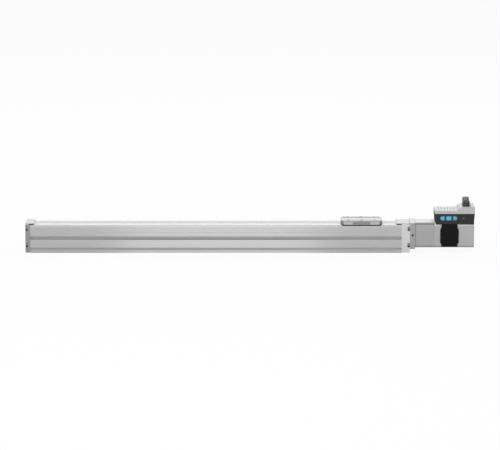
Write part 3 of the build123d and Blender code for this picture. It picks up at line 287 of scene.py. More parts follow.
class Finish(Tree):
    """A material with a Principled shader, fed by patterns at object coordinates."""

    def __init__(self, name, **constants):
        self.material = bpy.data.materials.new(name)
        self.material.use_nodes = True
        super().__init__(self.material.node_tree)
        self.shader = self.tree.nodes["Principled BSDF"]
        for socket_name, value in constants.items():
            self.shader.inputs[socket_name.replace("_", " ")].default_value = value
        self.place = self.node("ShaderNodeTexCoord", output=3)

    def noise(self, scale, detail, where=None):
        inputs = {"Vector": where or self.place, "Scale": scale, "Detail": detail}
        return self.node("ShaderNodeTexNoise", None, inputs)

    def lines(self, stretch, detail, turn=(0.0, 0.0, 0.0)):
        """Noise stretched into lines along the axis with the smallest number."""
        inputs = {"Vector": self.place, "Scale": stretch, "Rotation": turn}
        return self.noise(1.0, detail, self.node("ShaderNodeMapping", None, inputs))

    def tint(self, amount, dark, light):
        mix = self.add("ShaderNodeMix", {"data_type": "RGBA", "clamp_factor": True})
        for index, value in ((0, amount), (6, (*dark, 1.0)), (7, (*light, 1.0))):
            self.feed(mix.inputs[index], value)
        return Link(self, mix.outputs[2])

    def done(self, colour, rough, relief=None, depth=0.0, shade=None):
        """Sets the colour, times painted light and shade, the roughness and a relief of this depth."""
        if shade:
            inputs = {0: colour, "Scale": shade(self)}
            colour = self.node("ShaderNodeVectorMath", {"operation": "SCALE"}, inputs)
        self.feed(self.shader.inputs["Base Color"], colour)
        self.feed(self.shader.inputs["Roughness"], rough)
        if relief:
            bump = self.node("ShaderNodeBump", None, {"Height": relief, "Distance": depth, "Strength": 1.0})
            self.feed(self.shader.inputs["Normal"], bump)
        return self.material


def grey(value, warm=0.0):
    """A neutral colour, a little warmer or cooler by warm."""
    return (value * (1 + warm), value, value * (1 - warm))


# %% [markdown]
# ## Painted shade and highlights
# Grooves, cut chamfers, corners and tops of metal pieces get painted shade and highlights where the light
# would fall less or more, and the joints between pieces are darker. A picture could hold that, but needs
# an unwrapped surface. Here a factor from the point's own coordinates dims or brightens the colour there.

# %% Boxes of the shaded pieces, and three factors
FINE = 0.0003

rail_low, rail_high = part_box("profile")
rail_middle = (rail_low + rail_high) / 2
table_low, table_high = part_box("carriage_table")
table_middle = (table_low + table_high) / 2
housing_low, housing_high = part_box("coupling_housing")
flange_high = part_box("motor_flange")[1]
print("rail length", round(rail_high.x - rail_low.x, 4))


def on_rim(finish, across, up, rim_sum, level):
    """The level on a sloped upper edge, where width and height add up to more than rim_sum."""
    return finish.fade(abs(across) + up, rim_sum - FINE, rim_sum - FINE / 4, 1.0, level)


def on_top(finish, up, height, level):
    """The level on the flat face at this height."""
    return finish.fade(up, height - FINE / 2, height - FINE / 6, 1.0, level)


def above(finish, up, height, level):
    """The level from this height upwards."""
    return finish.fade(up, height, height + FINE, 1.0, level)


# %% Painted shade and highlight on the rail: grooves, rounded top edges, shoulder and foot
GROOVE_SHADE = 0.77
GROOVE_END_SHADE = 0.95
GROOVE_FADE = (0.10, 0.24)
RAIL_RIM = 0.0008
RAIL_RIM_SHADE = 0.50
RAIL_BAND = 0.0040
RAIL_BAND_SHADE = 1.14
RAIL_FOOT = 0.0049
RAIL_FOOT_SHADE = 0.92


def rail_shade(finish):
    """Painted shade on grooves, rounded top edges and foot; a painted highlight on the band below the top.
    """
    along, across, up = finish.axes(finish.place)
    depth = finish.fade(abs(along - rail_middle.x), *GROOVE_FADE, GROOVE_SHADE, GROOVE_END_SHADE)
    side = finish.fade(abs(across), rail_high.y - 3 * FINE, rail_high.y - FINE, depth, 1.0)
    top = finish.fade(up, rail_high.z - 6 * FINE, rail_high.z - 4 * FINE, 0.0, 1.0)
    rim = above(finish, abs(across) + up, rail_high.y + rail_high.z - RAIL_RIM, RAIL_RIM_SHADE)
    foot = finish.fade(up, RAIL_FOOT, RAIL_FOOT + FINE, RAIL_FOOT_SHADE, 1.0)
    band = above(finish, up, rail_high.z - RAIL_BAND, RAIL_BAND_SHADE)
    band_end = above(finish, up, rail_high.z - 6 * FINE, 1 / RAIL_BAND_SHADE)
    return side.at_least(top) * rim * foot * band * band_end


# %% Painted shade on the table: cut corners, chamfered rim and top, and the pocket's shade plate
TABLE_CORNER = 0.0045
TABLE_EDGE = 0.0009
TABLE_RIM_SHADE = 0.60
TABLE_TOP_SHADE = 0.83
CORNER_SHADE = 0.52
CORNER_INNER_SHADE = 0.80
CORNER_BAND = 0.0034
POCKET_END_FADE = (0.0122, 0.0138)
POCKET_END_LEVEL = 0.55


def table_shade(finish):
    """Painted shade on the cut corners, most at their outer ends, on the chamfered rim and on the flat top.
    """
    along, across, up = finish.axes(finish.place)
    half_length = table_high.x - table_middle.x
    from_middle = abs(along - table_middle.x)
    corner_sum = half_length + table_high.y - TABLE_CORNER
    corner = finish.fade(from_middle + abs(across), corner_sum - 2 * FINE, corner_sum - FINE / 2, 0.0, 1.0)
    outer = finish.fade(from_middle, half_length - CORNER_BAND, half_length - CORNER_BAND / 2,
                        CORNER_INNER_SHADE, CORNER_SHADE)
    rim = on_rim(finish, across, up, table_high.y + table_high.z - TABLE_EDGE, TABLE_RIM_SHADE)
    top = on_top(finish, up, table_high.z, TABLE_TOP_SHADE)
    return (1 - corner * (1 - outer)) * rim * top


def pocket_end_shade(finish):
    """Painted shade on both ends of the grey plate in the pocket, where its corners are deep."""
    along = finish.axes(finish.place)[0]
    return finish.fade(abs(along - table_middle.x), *POCKET_END_FADE, 1.0, POCKET_END_LEVEL)


# %% The housing, the flange and the motor: painted shade on chamfers, painted highlights on tops, dark joints
HOUSING_CHAMFER = 0.0035
HOUSING_RIM_SHADE = 0.52
HOUSING_TOP_SHADE = 1.10
HOUSING_BAND_SHADE = 1.16
JOINT_SHADE = 0.50
MOTOR_JOINT_SHADE = 0.82
MOTOR_RIM_SHADE = 1.40
MOTOR_BAND_SHADE = 1.26
UPPER_FACE_SHADE = 1.28
CHAMFER_BAND = 0.0014

chamfer_sum = housing_high.y + housing_high.z - HOUSING_CHAMFER
chamfer_band_low = housing_high.z - HOUSING_CHAMFER - CHAMFER_BAND
print("chamfers up to", round(housing_high.z, 4))


def housing_shade(finish):
    """Painted shade on top chamfers, darker joints at both ends, painted highlights on top and upper band.
    """
    along, across, up = finish.axes(finish.place)
    rim = on_rim(finish, across, up, chamfer_sum, HOUSING_RIM_SHADE)
    joint = finish.fade(along, housing_low.x + FINE, housing_low.x + 4 * FINE, JOINT_SHADE, 1.0)
    end = finish.fade(along, housing_high.x - 3 * FINE, housing_high.x - FINE, 1.0, MOTOR_JOINT_SHADE)
    band = above(finish, up, chamfer_band_low, HOUSING_BAND_SHADE)
    top = on_top(finish, up, housing_high.z, HOUSING_TOP_SHADE)
    return rim * joint * end * band * top


def flange_shade(finish):
    """A painted highlight on the milled top of the flange."""
    return on_top(finish, finish.axes(finish.place)[2], flange_high.z, UPPER_FACE_SHADE)


def motor_shade(finish):
    """Painted highlights on the cut top chamfers of the motor's body and on the narrow band below them."""
    across, up = finish.axes(finish.place)[1:]
    rim = on_rim(finish, across, up, chamfer_sum, MOTOR_RIM_SHADE)
    return rim * above(finish, up, chamfer_band_low, MOTOR_BAND_SHADE)


# %% [markdown]
# ## Aluminium
# The rail is drawn through a die and then anodised. Its surface carries very fine lines along its length
# and a silky, not mirror-like, sheen. Stretching a noise by a few hundred times along X makes the lines.
# Milled pieces have short marks across instead, and blasted ones a fine even grain. One function for each
# keeps the marks alike on all pieces.

# %% Finishes of the aluminium pieces
DRAWN_LINES = (2.5, 900.0, 900.0)
DRAWN_BROAD_LINES = (1.2, 90.0, 90.0)
MILLED_MARKS = (60.0, 1400.0, 1400.0)
MILLED_TURN = (0.0, 0.0, 0.18)
BLASTED_GRAIN = 1900.0


def drawn_aluminium(name, light):
    finish = Finish(name, Metallic=0.55)
    lines = finish.lines(DRAWN_LINES, 4.0)
    broad = finish.lines(DRAWN_BROAD_LINES, 2.0)
    cloud = finish.noise(5.0, 2.0)
    shade = lines * 0.45 + broad * 0.35 + cloud * 0.2
    tint = finish.tint(shade, grey(light * 0.9), grey(light * 1.09, 0.004))
    return finish.done(tint, 0.30 + lines * 0.16, lines, 0.00002, rail_shade)


def milled_aluminium(name, light, shade=None):
    finish = Finish(name, Metallic=0.55)
    marks = finish.lines(MILLED_MARKS, 3.0, MILLED_TURN)
    cloud = finish.noise(18.0, 3.0)
    tint = finish.tint(marks * 0.5 + cloud * 0.5, grey(light * 0.92), grey(light * 1.06))
    return finish.done(tint, 0.32 + marks * 0.14, marks, 0.000015, shade)


def blasted_aluminium(name, light, metal=0.45, shade=None):
    finish = Finish(name, Metallic=metal)
    grain = finish.noise(BLASTED_GRAIN, 2.0)
    cloud = finish.noise(24.0, 3.0)
    tint = finish.tint(grain * 0.4 + cloud * 0.6, grey(light * 0.93), grey(light * 1.06))
    return finish.done(tint, 0.42 + grain * 0.14, grain, 0.00002, shade)


rail_finish = drawn_aluminium("drawn_rail", 0.635)
table_finish = milled_aluminium("milled_table", 0.61, shade=table_shade)
cap_finish = blasted_aluminium("blasted_cap", 0.77)
clamp_finish = blasted_aluminium("blasted_clamp", 0.605, 0.2)
# The left end cap is the same blasted aluminium as the right one; its darker copy is painted shade.
shaded_cap_finish = blasted_aluminium("grey_blasted", 0.37)
flange_finish = blasted_aluminium("grey_flange", 0.44, shade=flange_shade)
housing_finish = blasted_aluminium("grey_housing", 0.475, shade=housing_shade)
motor_finish = blasted_aluminium("satin_motor", 0.545, shade=motor_shade)
hub_finish = milled_aluminium("turned_hub", 0.6)
print("materials with aluminium", len(bpy.data.materials))

# %% [markdown]
# ## Steel, copper and iron
# The strip is rolled spring steel with lines along its length. Ground bearing steel is darker and
# smoother. Screws are dark zinc plated, with a cloudy tint. The motor's stack is made of thin sheets, so
# its bore shows fine lines across the axis, and the winding heads show turns of lacquered copper. Each
# is one noise or wave, stretched the way that the tool or the wire went.

# %% Finishes of the steel pieces
ROLLED_LINES = (3.0, 1500.0, 300.0)
GROUND_RINGS = (1800.0, 60.0, 60.0)


def rolled_steel(name, light):
    finish = Finish(name, Metallic=0.75)
    lines = finish.lines(ROLLED_LINES, 5.0)
    cloud = finish.noise(9.0, 2.0)
    tint = finish.tint(lines * 0.7 + cloud * 0.3, grey(light * 0.86, 0.01), grey(light * 1.1, 0.01))
    return finish.done(tint, 0.26 + lines * 0.2, lines, 0.00001)


def ground_steel(name, light):
    finish = Finish(name, Metallic=0.9)
    rings = finish.lines(GROUND_RINGS, 4.0)
    oil = finish.noise(40.0, 3.0)
    tint = finish.tint(rings * 0.6 + oil * 0.4, grey(light * 0.85), grey(light * 1.12, -0.01))
    return finish.done(tint, 0.18 + oil * 0.18)


def zinc_plated(name, light):
    finish = Finish(name, Metallic=0.85)
    cloud = finish.noise(220.0, 4.0)
    wear = finish.noise(900.0, 2.0)
    tint = finish.tint(cloud, grey(light * 0.75, 0.03), grey(light * 1.3, -0.02))
    return finish.done(tint, 0.3 + wear * 0.25)


strip_finish = rolled_steel("rolled_strip", 0.47)
steel_finish = ground_steel("ground_steel", 0.56)
screw_finish = zinc_plated("zinc_screws", 0.20)
bright_screw_finish = zinc_plated("zinc_screws_bright", 0.55)
oxide_finish = zinc_plated("black_oxide", 0.03)
# One nickel plating on both sockets: its dark copy is painted shade, its pale copy painted light.
socket_nickel_shaded = zinc_plated("nickel_dark", 0.13)
socket_nickel_lit = zinc_plated("nickel_pale", 0.36)
print("materials with steel", len(bpy.data.materials))

# %% Finishes of the motor's windings and stacks
COPPER_TURNS = (2600.0, 300.0, 300.0)
COPPER_DARK, COPPER_LIGHT = (0.22, 0.07, 0.02), (0.72, 0.32, 0.13)
SHEET_SCALE = 320.0


def wound_copper(name):
    finish = Finish(name, Metallic=0.7)
    turns = finish.lines(COPPER_TURNS, 2.0)
    return finish.done(finish.tint(turns, COPPER_DARK, COPPER_LIGHT), 0.28 + turns * 0.2, turns, 0.0002)


def stacked_iron(name):
    finish = Finish(name, Metallic=0.7)
    sheets = finish.node("ShaderNodeTexWave", {"bands_direction": "X"},
                         {"Vector": finish.place, "Scale": SHEET_SCALE, "Distortion": 0.4, "Detail": 2.0})
    return finish.done(finish.tint(sheets, grey(0.09), grey(0.24)), 0.4 + sheets * 0.2, sheets, 0.0001)


copper_finish = wound_copper("wound_copper")
iron_finish = stacked_iron("stacked_iron")
print("materials with copper", len(bpy.data.materials))

# %% [markdown]
# ## Plastics, rubber and paint
# Moulded covers carry a spark-eroded texture: a fine grain that breaks up their gloss. Rubber is duller.
# The controller's upper cover is powder coated, with the slight orange peel that such paint has. The
# keys are soft silicone, with painted shade towards their webs and edges, and the lamp is clear amber.
# Grain and orange peel are too small to model, so a bump from the tint's noise makes them.

# %% Moulded plastic and rubber


def moulded_plastic(name, dark, light, rough=0.45, grain_scale=2200.0, depth=0.00003, sheen=0.5, shade=None):
    finish = Finish(name, IOR=1.47, Specular_IOR_Level=sheen)
    grain = finish.noise(grain_scale, 2.0)
    cloud = finish.noise(60.0, 3.0)
    tint = finish.tint(grain * 0.5 + cloud * 0.5, dark, light)
    return finish.done(tint, rough + grain * 0.18, grain, depth, shade)


cover_black = moulded_plastic("moulded_black", grey(0.003), grey(0.006), sheen=0.2)
housing_dark = moulded_plastic("moulded_dark", grey(0.024), grey(0.036), 0.5, sheen=0.3)
wiper_black = moulded_plastic("wiper_black", grey(0.006), grey(0.014), 0.5, 1200.0, sheen=0.2)
insert_black = moulded_plastic("insert_black", grey(0.02), grey(0.05), 0.35)
rubber_black = moulded_plastic("stop_rubber", grey(0.012), grey(0.024), 0.7, 600.0, 0.00006)
seal_pale = moulded_plastic("seal_pale", grey(0.82), grey(0.90), 0.25, 900.0)
# Grey of the painted shade in the pocket and on the skirt below it.
liner_grey = moulded_plastic("liner_grey", grey(0.31), grey(0.39), 0.6, shade=pocket_end_shade)
mark_grey = moulded_plastic("printed_grey", grey(0.10), grey(0.16), 0.5)
# Dark brown of the painted shadow under the clamps' overhangs.
pad_brown = moulded_plastic("pad_brown", (0.05, 0.035, 0.03), (0.09, 0.07, 0.06), 0.7, 700.0)
spider_red = moulded_plastic("spider_red", (0.36, 0.03, 0.02), (0.62, 0.08, 0.05), 0.4, 900.0)
icon_blue = moulded_plastic("printed_blue", (0.15, 0.42, 0.56), (0.20, 0.50, 0.64), 0.4)
# Dark blue of the painted shade between and round the keys.
surround_blue = moulded_plastic("surround_blue", (0.004, 0.05, 0.11), (0.008, 0.075, 0.16), 0.4)
print("materials with plastics", len(bpy.data.materials))

# %% Powder coat, printed foil and circuit board
BOARD_DARK, BOARD_LIGHT = (0.01, 0.10, 0.04), (0.04, 0.28, 0.12)


def powder_coat(name, light):
    finish = Finish(name, IOR=1.5, Metallic=0.15)
    peel = finish.noise(420.0, 2.0)
    fleck = finish.noise(2400.0, 1.0)
    tint = finish.tint(peel * 0.4 + fleck * 0.6, grey(light * 0.93), grey(light * 1.05))
    return finish.done(tint, 0.34 + peel * 0.12, peel, 0.00006)


def printed_foil(name):
    finish = Finish(name, IOR=1.5)
    fibre = finish.noise(700.0, 3.0)
    return finish.done(finish.tint(fibre, grey(0.61), grey(0.69)), 0.3 + fibre * 0.12)


def solder_mask(name):
    finish = Finish(name, IOR=1.5)
    weave = finish.noise(900.0, 2.0)
    tracks = finish.node("ShaderNodeTexBrick", {"offset": 0.5},
                         {"Vector": finish.place, "Scale": 90.0, "Mortar Size": 0.06}, output=1)
    tint = finish.tint(weave * 0.3 + tracks * 0.7, BOARD_DARK, BOARD_LIGHT)
    return finish.done(tint, 0.28 + weave * 0.15)


cover_light = powder_coat("powder_light", 0.545)
foil_finish = printed_foil("printed_foil")
board_finish = solder_mask("solder_mask")
print("materials with covers", len(bpy.data.materials))

# %% The clear amber lamp
LENS_DARK, LENS_LIGHT = (0.20, 0.08, 0.02), (0.40, 0.17, 0.05)
LENS_GLOW = 0.12


def amber_lens(name):
    finish = Finish(name, IOR=1.49, Coat_Weight=0.6, Emission_Strength=LENS_GLOW)
    facets = finish.noise(1400.0, 1.0)
    tint = finish.tint(facets, LENS_DARK, LENS_LIGHT)
    finish.feed(finish.shader.inputs["Emission Color"], tint)
    return finish.done(tint, 0.2 + facets * 0.1)


lamp_finish = amber_lens("amber_lens")
print("lamp finish", lamp_finish.name)

# %% The silicone of the keys, each with its darkest and lightest blue
KEY_ROW_X = 0.3904
KEY_ROW_Z = 0.0594
KEY_WEB_OFFSET = 0.00575
KEY_WEB_FADE = (0.0009, 0.0029)
KEY_WEB_SHADE = 0.34
KEY_EDGE_FADE = (0.0024, 0.0035)
KEY_EDGE_SHADE = 0.62
# One silicone: the levels that differ from key to key are painted light and shade, darkest on the right.
KEY_COLOURS = {
    "key_left": ((0.11, 0.38, 0.54), (0.17, 0.48, 0.64)),
    "key_middle": ((0.11, 0.39, 0.59), (0.17, 0.49, 0.71)),
    "key_right": ((0.085, 0.31, 0.50), (0.14, 0.41, 0.62)),
}


def key_shade(finish):
    """Painted shade on the keys towards the webs between them and along their upper and lower edges."""
    along, _, up = finish.axes(finish.place)
    from_web = abs(abs(along - KEY_ROW_X) - KEY_WEB_OFFSET)
    side = finish.fade(from_web, *KEY_WEB_FADE, KEY_WEB_SHADE, 1.0)
    return side * finish.fade(abs(up - KEY_ROW_Z), *KEY_EDGE_FADE, 1.0, KEY_EDGE_SHADE)


def key_silicone(name, dark, light):
    finish = Finish(name, IOR=1.43)
    grain = finish.noise(1500.0, 2.0)
    cloud = finish.noise(90.0, 2.0)
    tint = finish.tint(grain * 0.4 + cloud * 0.6, dark, light)
    return finish.done(tint, 0.42 + grain * 0.15, grain, 0.00002, key_shade)


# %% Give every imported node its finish
NODE_FINISHES = {
    "profile": rail_finish,
    "carriage_table": table_finish, "carriage_yoke": table_finish,
    "end_cap_left": shaded_cap_finish, "end_cap_right": cap_finish,
    "strip_clamp_left": clamp_finish, "strip_clamp_right": clamp_finish,
    "cover_strip": strip_finish,
    "motor_flange": flange_finish, "coupling_housing": housing_finish,
    "clamp_screws": bright_screw_finish,
    "motor_body": motor_finish, "motor_front_bell": motor_finish,
    "coupling_hub_screw": hub_finish, "coupling_hub_motor": hub_finish,
    "coupling_spider": spider_red,
    "bumper_left": rubber_black, "bumper_right": rubber_black, "key_mat": rubber_black,
    "connection_cover": cover_black, "runner_caps": wiper_black, "strip_guides": wiper_black,
    "socket_inserts": insert_black,
    "controller_housing": housing_dark, "controller_cover": cover_light,
    "controller_label": foil_finish, "status_light": lamp_finish,
    "controller_board": board_finish, "key_board": board_finish,
    "socket_power": socket_nickel_shaded, "socket_logic": socket_nickel_lit,
    "motor_stator": iron_finish, "motor_rotor": iron_finish, "encoder_magnet": iron_finish,
    "motor_windings": copper_finish,
}
for key, (dark, light) in KEY_COLOURS.items():
    NODE_FINISHES[key] = key_silicone(f"{key}_silicone", dark, light)
for name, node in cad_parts.items():
    screws = name.endswith(("_screws", "_screws_left", "_screws_right"))
    finish = NODE_FINISHES.get(name, screw_finish if screws else steel_finish)
    node.data.materials.clear()
    node.data.materials.append(finish)
print("finishes given", len(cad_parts))

# %% [markdown]
# ## Shapes that follow a rule
# A ball screw's groove, a thread and a knurl are the same small form repeated along a path. Geometry
# Nodes can state the rule once, with named sizes. The helper below opens such a tree, and the next one
# runs it, turns its result into a plain mesh and takes the modifier away.

# %% A Geometry Nodes tree with named inputs
MATERIAL_INPUT = "finish"
SOCKET_KINDS = {MATERIAL_INPUT: "Material", "count": "Int"}


class Shape(Tree):
    """A Geometry Nodes tree. Its sizes and finish are group inputs, set later by their identifiers."""

    def __init__(self, name, *size_names):
        super().__init__(bpy.data.node_groups.new(name, "GeometryNodeTree"))
        self.tree.interface.new_socket("Geometry", in_out="OUTPUT", socket_type="NodeSocketGeometry")
        self.identifiers = {}
        for size_name in (*size_names, MATERIAL_INPUT):
            kind = "NodeSocket" + SOCKET_KINDS.get(size_name.split()[-1], "Float")
            socket = self.tree.interface.new_socket(size_name, in_out="INPUT", socket_type=kind)
            self.identifiers[size_name] = socket.identifier
        self.inputs = self.add("NodeGroupInput")

    def size(self, name):
        return Link(self, self.inputs.outputs[name])

    def feed(self, socket, value):
        """Links or sets one input. A word stands for the size with that name."""
        super().feed(socket, self.size(value) if isinstance(value, str) else value)

    def vector(self, x, y, z):
        return self.node("ShaderNodeCombineXYZ", None, {0: x, 1: y, 2: z})

    def close(self, geometry, place=(0.0, 0.0, 0.0), turn=(0.0, 0.0, 0.0)):
        """Turns the geometry, moves it to its place and ends the tree with its finish."""
        inputs = {0: geometry, "Translation": self.vector(*place), "Rotation": self.vector(*turn)}
        moved = self.node("GeometryNodeTransform", None, inputs)
        real = self.node("GeometryNodeRealizeInstances", None, {0: moved})
        painted = self.node("GeometryNodeSetMaterial", None, {0: real, "Material": MATERIAL_INPUT})
        self.add("NodeGroupOutput", None, {0: painted})


def grow(name, shape, sizes, material):
    """Runs a shape with its sizes and keeps the result as a plain mesh object."""
    holder = add_object(name, bpy.data.meshes.new(name))
    modifier = holder.modifiers.new("shape", "NODES")
    modifier.node_group = shape.tree
    for size_name, value in {**sizes, MATERIAL_INPUT: material}.items():
        modifier[shape.identifiers[size_name]] = value
    bpy.context.view_layer.update()
    depsgraph = bpy.context.evaluated_depsgraph_get()
    mesh = bpy.data.meshes.new_from_object(holder.evaluated_get(depsgraph), depsgraph=depsgraph)
    holder.modifiers.clear()
    holder.data = mesh
    print(name, "faces", len(mesh.polygons))
    return holder


# %% [markdown]
# ## The ball screw
# The balls run in a rounded right-handed groove with a lead of ten millimetres. A cutter could sweep along
# a helix, but that leaves thin faces where cuts meet. Here the points of a cylinder with many rings sink
# towards the axis, by how far each one's turn is from the groove's middle. The journals are turned.

# %% A cylinder with a helical groove
ROD_SIDES = 40
grooved_rod = Shape("grooved_rod", "start", "length", "radius", "pitch", "depth", "width", "rings count",
                    "axis height")


def helical_rod(shape):
    """A cylinder along X whose surface sinks into a round-bottomed helical groove."""
    mesh = shape.node("GeometryNodeMeshCylinder", {"fill_type": "NGON"}, {
        "Vertices": ROD_SIDES, "Side Segments": "rings count", "Radius": "radius", "Depth": "length"})
    across, up, along = shape.axes(shape.node("GeometryNodeInputPosition"))
    turn = along / shape.size("pitch") - up.maths("ARCTAN2", up, across) / (2 * math.pi)
    phase = shape.node("ShaderNodeMath", {"operation": "WRAP"}, {0: turn, 1: 0.5, 2: -0.5})
    reach = abs(phase) * shape.size("pitch") / (shape.size("width") * 0.5)
    bowl = (1.0 - reach * reach).at_least(0.0)
    sunk = 1.0 - bowl ** 0.5 * shape.size("depth") / shape.size("radius")
    middle = shape.size("start") + shape.size("length") * 0.5
    turned = shape.vector(along + middle, across * sunk, up * sunk + shape.size("axis height"))
    return shape.node("GeometryNodeSetPosition", None, {0: mesh, "Position": turned})


flat = {0: helical_rod(grooved_rod), "Shade Smooth": False}
grooved_rod.close(grooved_rod.node("GeometryNodeSetShadeSmooth", None, flat))

# %% The threaded length of the screw
SCREW_LEAD = 0.010
SCREW_RADIUS = 0.005
AXIS_HEIGHT = 0.030
GROOVE_DEPTH = 0.0009
GROOVE_WIDTH = 0.0042
RINGS_PER_TURN = 14

screw_low, screw_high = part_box("ball_screw")
bearing_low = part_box("fixed_bearing_inner")[0]
free_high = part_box("floating_bearing_inner")[1]
nut_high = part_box("screw_locknut")[1]
length = bearing_low.x - free_high.x
thread = grow("screw_thread", grooved_rod, {
    "start": free_high.x, "length": length, "radius": SCREW_RADIUS, "pitch": SCREW_LEAD,
    "depth": GROOVE_DEPTH, "width": GROOVE_WIDTH, "rings count": int(length / SCREW_LEAD * RINGS_PER_TURN),
    "axis height": AXIS_HEIGHT}, steel_finish)

# %% A turned piece from its outline
TURNED_STEPS = 64
WELD_DISTANCE = 1e-7


def keep_form(name, form, material):
    """Turns the faces of a form outwards and keeps it as an object with one finish."""
    bmesh.ops.recalc_face_normals(form, faces=form.faces)
    mesh = bpy.data.meshes.new(name)
    form.to_mesh(mesh)
    form.free()
    mesh.materials.append(material)
    return add_object(name, mesh)


def turned_piece(name, profile, material, axis="X", centre=(0.0, 0.0, 0.0)):
    """Spins an outline of (distance along the axis, radius) points into a closed turned piece."""
    form = bmesh.new()
    rings = []
    for along, radius in profile:
        ring = []
        for step in range(TURNED_STEPS):
            angle = 2 * math.pi * step / TURNED_STEPS
            across, up = radius * math.cos(angle), radius * math.sin(angle)
            offset = (along, across, up) if axis == "X" else (across, up, along)
            ring.append(form.verts.new(Vector(centre) + Vector(offset)))
        rings.append(ring)
    for first, second in zip(rings, rings[1:] + rings[:1]):
        for step in range(TURNED_STEPS):
            after = (step + 1) % TURNED_STEPS
            form.faces.new((first[step], first[after], second[after], second[step]))
    bmesh.ops.remove_doubles(form, verts=form.verts, dist=WELD_DISTANCE)
    return keep_form(name, form, material)


# %% The journals at both ends of the screw
JOURNAL_RADIUS = 0.004
DRIVE_RADIUS = 0.003
CHAMFER = 0.0004
CENTRE_DRILL = 0.0008
OUTLINES = {
    "drive_journal": [
        (bearing_low.x, CENTRE_DRILL), (bearing_low.x, JOURNAL_RADIUS),
        (nut_high.x + CHAMFER, JOURNAL_RADIUS), (nut_high.x + 2 * CHAMFER, DRIVE_RADIUS),
        (screw_high.x - CHAMFER, DRIVE_RADIUS), (screw_high.x, DRIVE_RADIUS - CHAMFER),
        (screw_high.x, CENTRE_DRILL)],
    "free_journal": [
        (free_high.x, CENTRE_DRILL), (free_high.x, JOURNAL_RADIUS), (screw_low.x + CHAMFER, JOURNAL_RADIUS),
        (screw_low.x, JOURNAL_RADIUS - CHAMFER), (screw_low.x, CENTRE_DRILL)],
}
journals = [turned_piece(name, outline, steel_finish, centre=(0.0, 0.0, AXIS_HEIGHT))
            for name, outline in OUTLINES.items()]
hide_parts("ball_screw")
for piece in [thread, *journals]:
    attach(piece, "screw")
print("screw length", round(screw_high.x - screw_low.x, 4))

# %% [markdown]
# ## Threaded sockets
# Two round sockets stand on the raised part of the controller. Each is a metal shell with an outer
# thread of one millimetre pitch over a knurled collar. The shell is turned from its outline, as on a
# lathe, and the thread is a spiral curve that carries a small triangular profile.

# %% A thread as a spiral ridge
SPIRAL_STEPS = 40
thread_ridge = Shape("thread_ridge", "centre x", "centre y", "bottom", "height", "radius", "pitch", "ridge")
turns = thread_ridge.size("height") / thread_ridge.size("pitch")
spiral = thread_ridge.node("GeometryNodeCurveSpiral", None, {
    "Resolution": SPIRAL_STEPS, "Rotations": turns, "Start Radius": "radius", "End Radius": "radius",
    "Height": "height", "Reverse": True})
triangle = thread_ridge.node("GeometryNodeCurvePrimitiveCircle", None, {"Resolution": 3, "Radius": "ridge"})
ridge = thread_ridge.node("GeometryNodeCurveToMesh", None, {0: spiral, 1: triangle, "Fill Caps": True})
thread_ridge.close(ridge, ("centre x", "centre y", "bottom"))

# %% A ring of small upright ridges, for collars and screw heads
knurl_ring = Shape("knurl_ring", "centre x", "centre y", "centre z", "radius", "height", "ridge",
                   "ridges count", "tilt")
ring_line = knurl_ring.node("GeometryNodeMeshCircle", None, {"Vertices": "ridges count", "Radius": "radius"})
rod = knurl_ring.node("GeometryNodeMeshCylinder", {"fill_type": "NGON"},
                      {"Vertices": 4, "Radius": "ridge", "Depth": "height"})
spread = knurl_ring.node("GeometryNodeInstanceOnPoints", None, {0: ring_line, "Instance": rod})
knurl_ring.close(spread, ("centre x", "centre y", "centre z"), (0.0, "tilt", 0.0))

# %% Both sockets
SHELL_WALL = 0.0013
SHELL_RECESS = 0.001
THREAD_PITCH = 0.001
THREAD_RIDGE = 0.00045
THREAD_RAISED = 0.3
THREAD_FINENESS = 0.68
COLLAR_START = 0.005
COLLAR_HEIGHT = 0.0012
COLLAR_SHARE = 0.9
COLLAR_RIDGES = 48

for name, socket_finish in (("socket_power", socket_nickel_shaded), ("socket_logic", socket_nickel_lit)):
    low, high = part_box(name)
    centre = (low + high) / 2
    outer = (high.x - low.x) / 2
    core = outer - SHELL_RECESS - THREAD_RIDGE
    bore = outer - SHELL_RECESS - SHELL_WALL
    collar_radius = outer - THREAD_RIDGE
    collar_low = low.z + COLLAR_START
    collar_high = collar_low + COLLAR_HEIGHT
    rim = high.z - CHAMFER
    shell = turned_piece(f"{name}_shell", [
        (low.z, bore), (low.z, core), (collar_low, core), (collar_low, collar_radius),
        (collar_high - CHAMFER, collar_radius), (collar_high, collar_radius - CHAMFER),
        (collar_high, core), (rim, core), (high.z, core - CHAMFER), (high.z, bore),
    ], socket_finish, axis="Z", centre=(centre.x, centre.y, 0.0))
    winding = grow(f"{name}_thread", thread_ridge, {
        "centre x": centre.x, "centre y": centre.y, "bottom": collar_high + THREAD_RIDGE,
        "height": rim - collar_high - 2 * THREAD_RIDGE, "radius": core + THREAD_RIDGE * THREAD_RAISED,
        "pitch": THREAD_PITCH, "ridge": THREAD_RIDGE * THREAD_FINENESS}, socket_finish)
    collar = grow(f"{name}_collar", knurl_ring, {
        "centre x": centre.x, "centre y": centre.y, "centre z": (collar_low + collar_high) / 2,
        "radius": collar_radius, "height": COLLAR_HEIGHT * COLLAR_SHARE,
        "ridge": THREAD_RIDGE * COLLAR_SHARE, "ridges count": COLLAR_RIDGES, "tilt": 0.0}, socket_finish)
    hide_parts(name)
    for piece in (shell, winding, collar):
        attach(piece, "base")

# %% [markdown]
# ## Knurled screw heads
# The socket screws in the notches of both end caps have knurled heads. The solids give the heads and
# their hexagons. A bump would leave the outline round, so one tree sets a ring of fine ridges round each.

# %% Knurl the eight end screws
HEAD_RADIUS = 0.0035
HEAD_RIDGE = 0.0001
HEAD_RIDGES = 36
HEAD_BAND = 0.0026
HEAD_MIDDLE = 0.0018

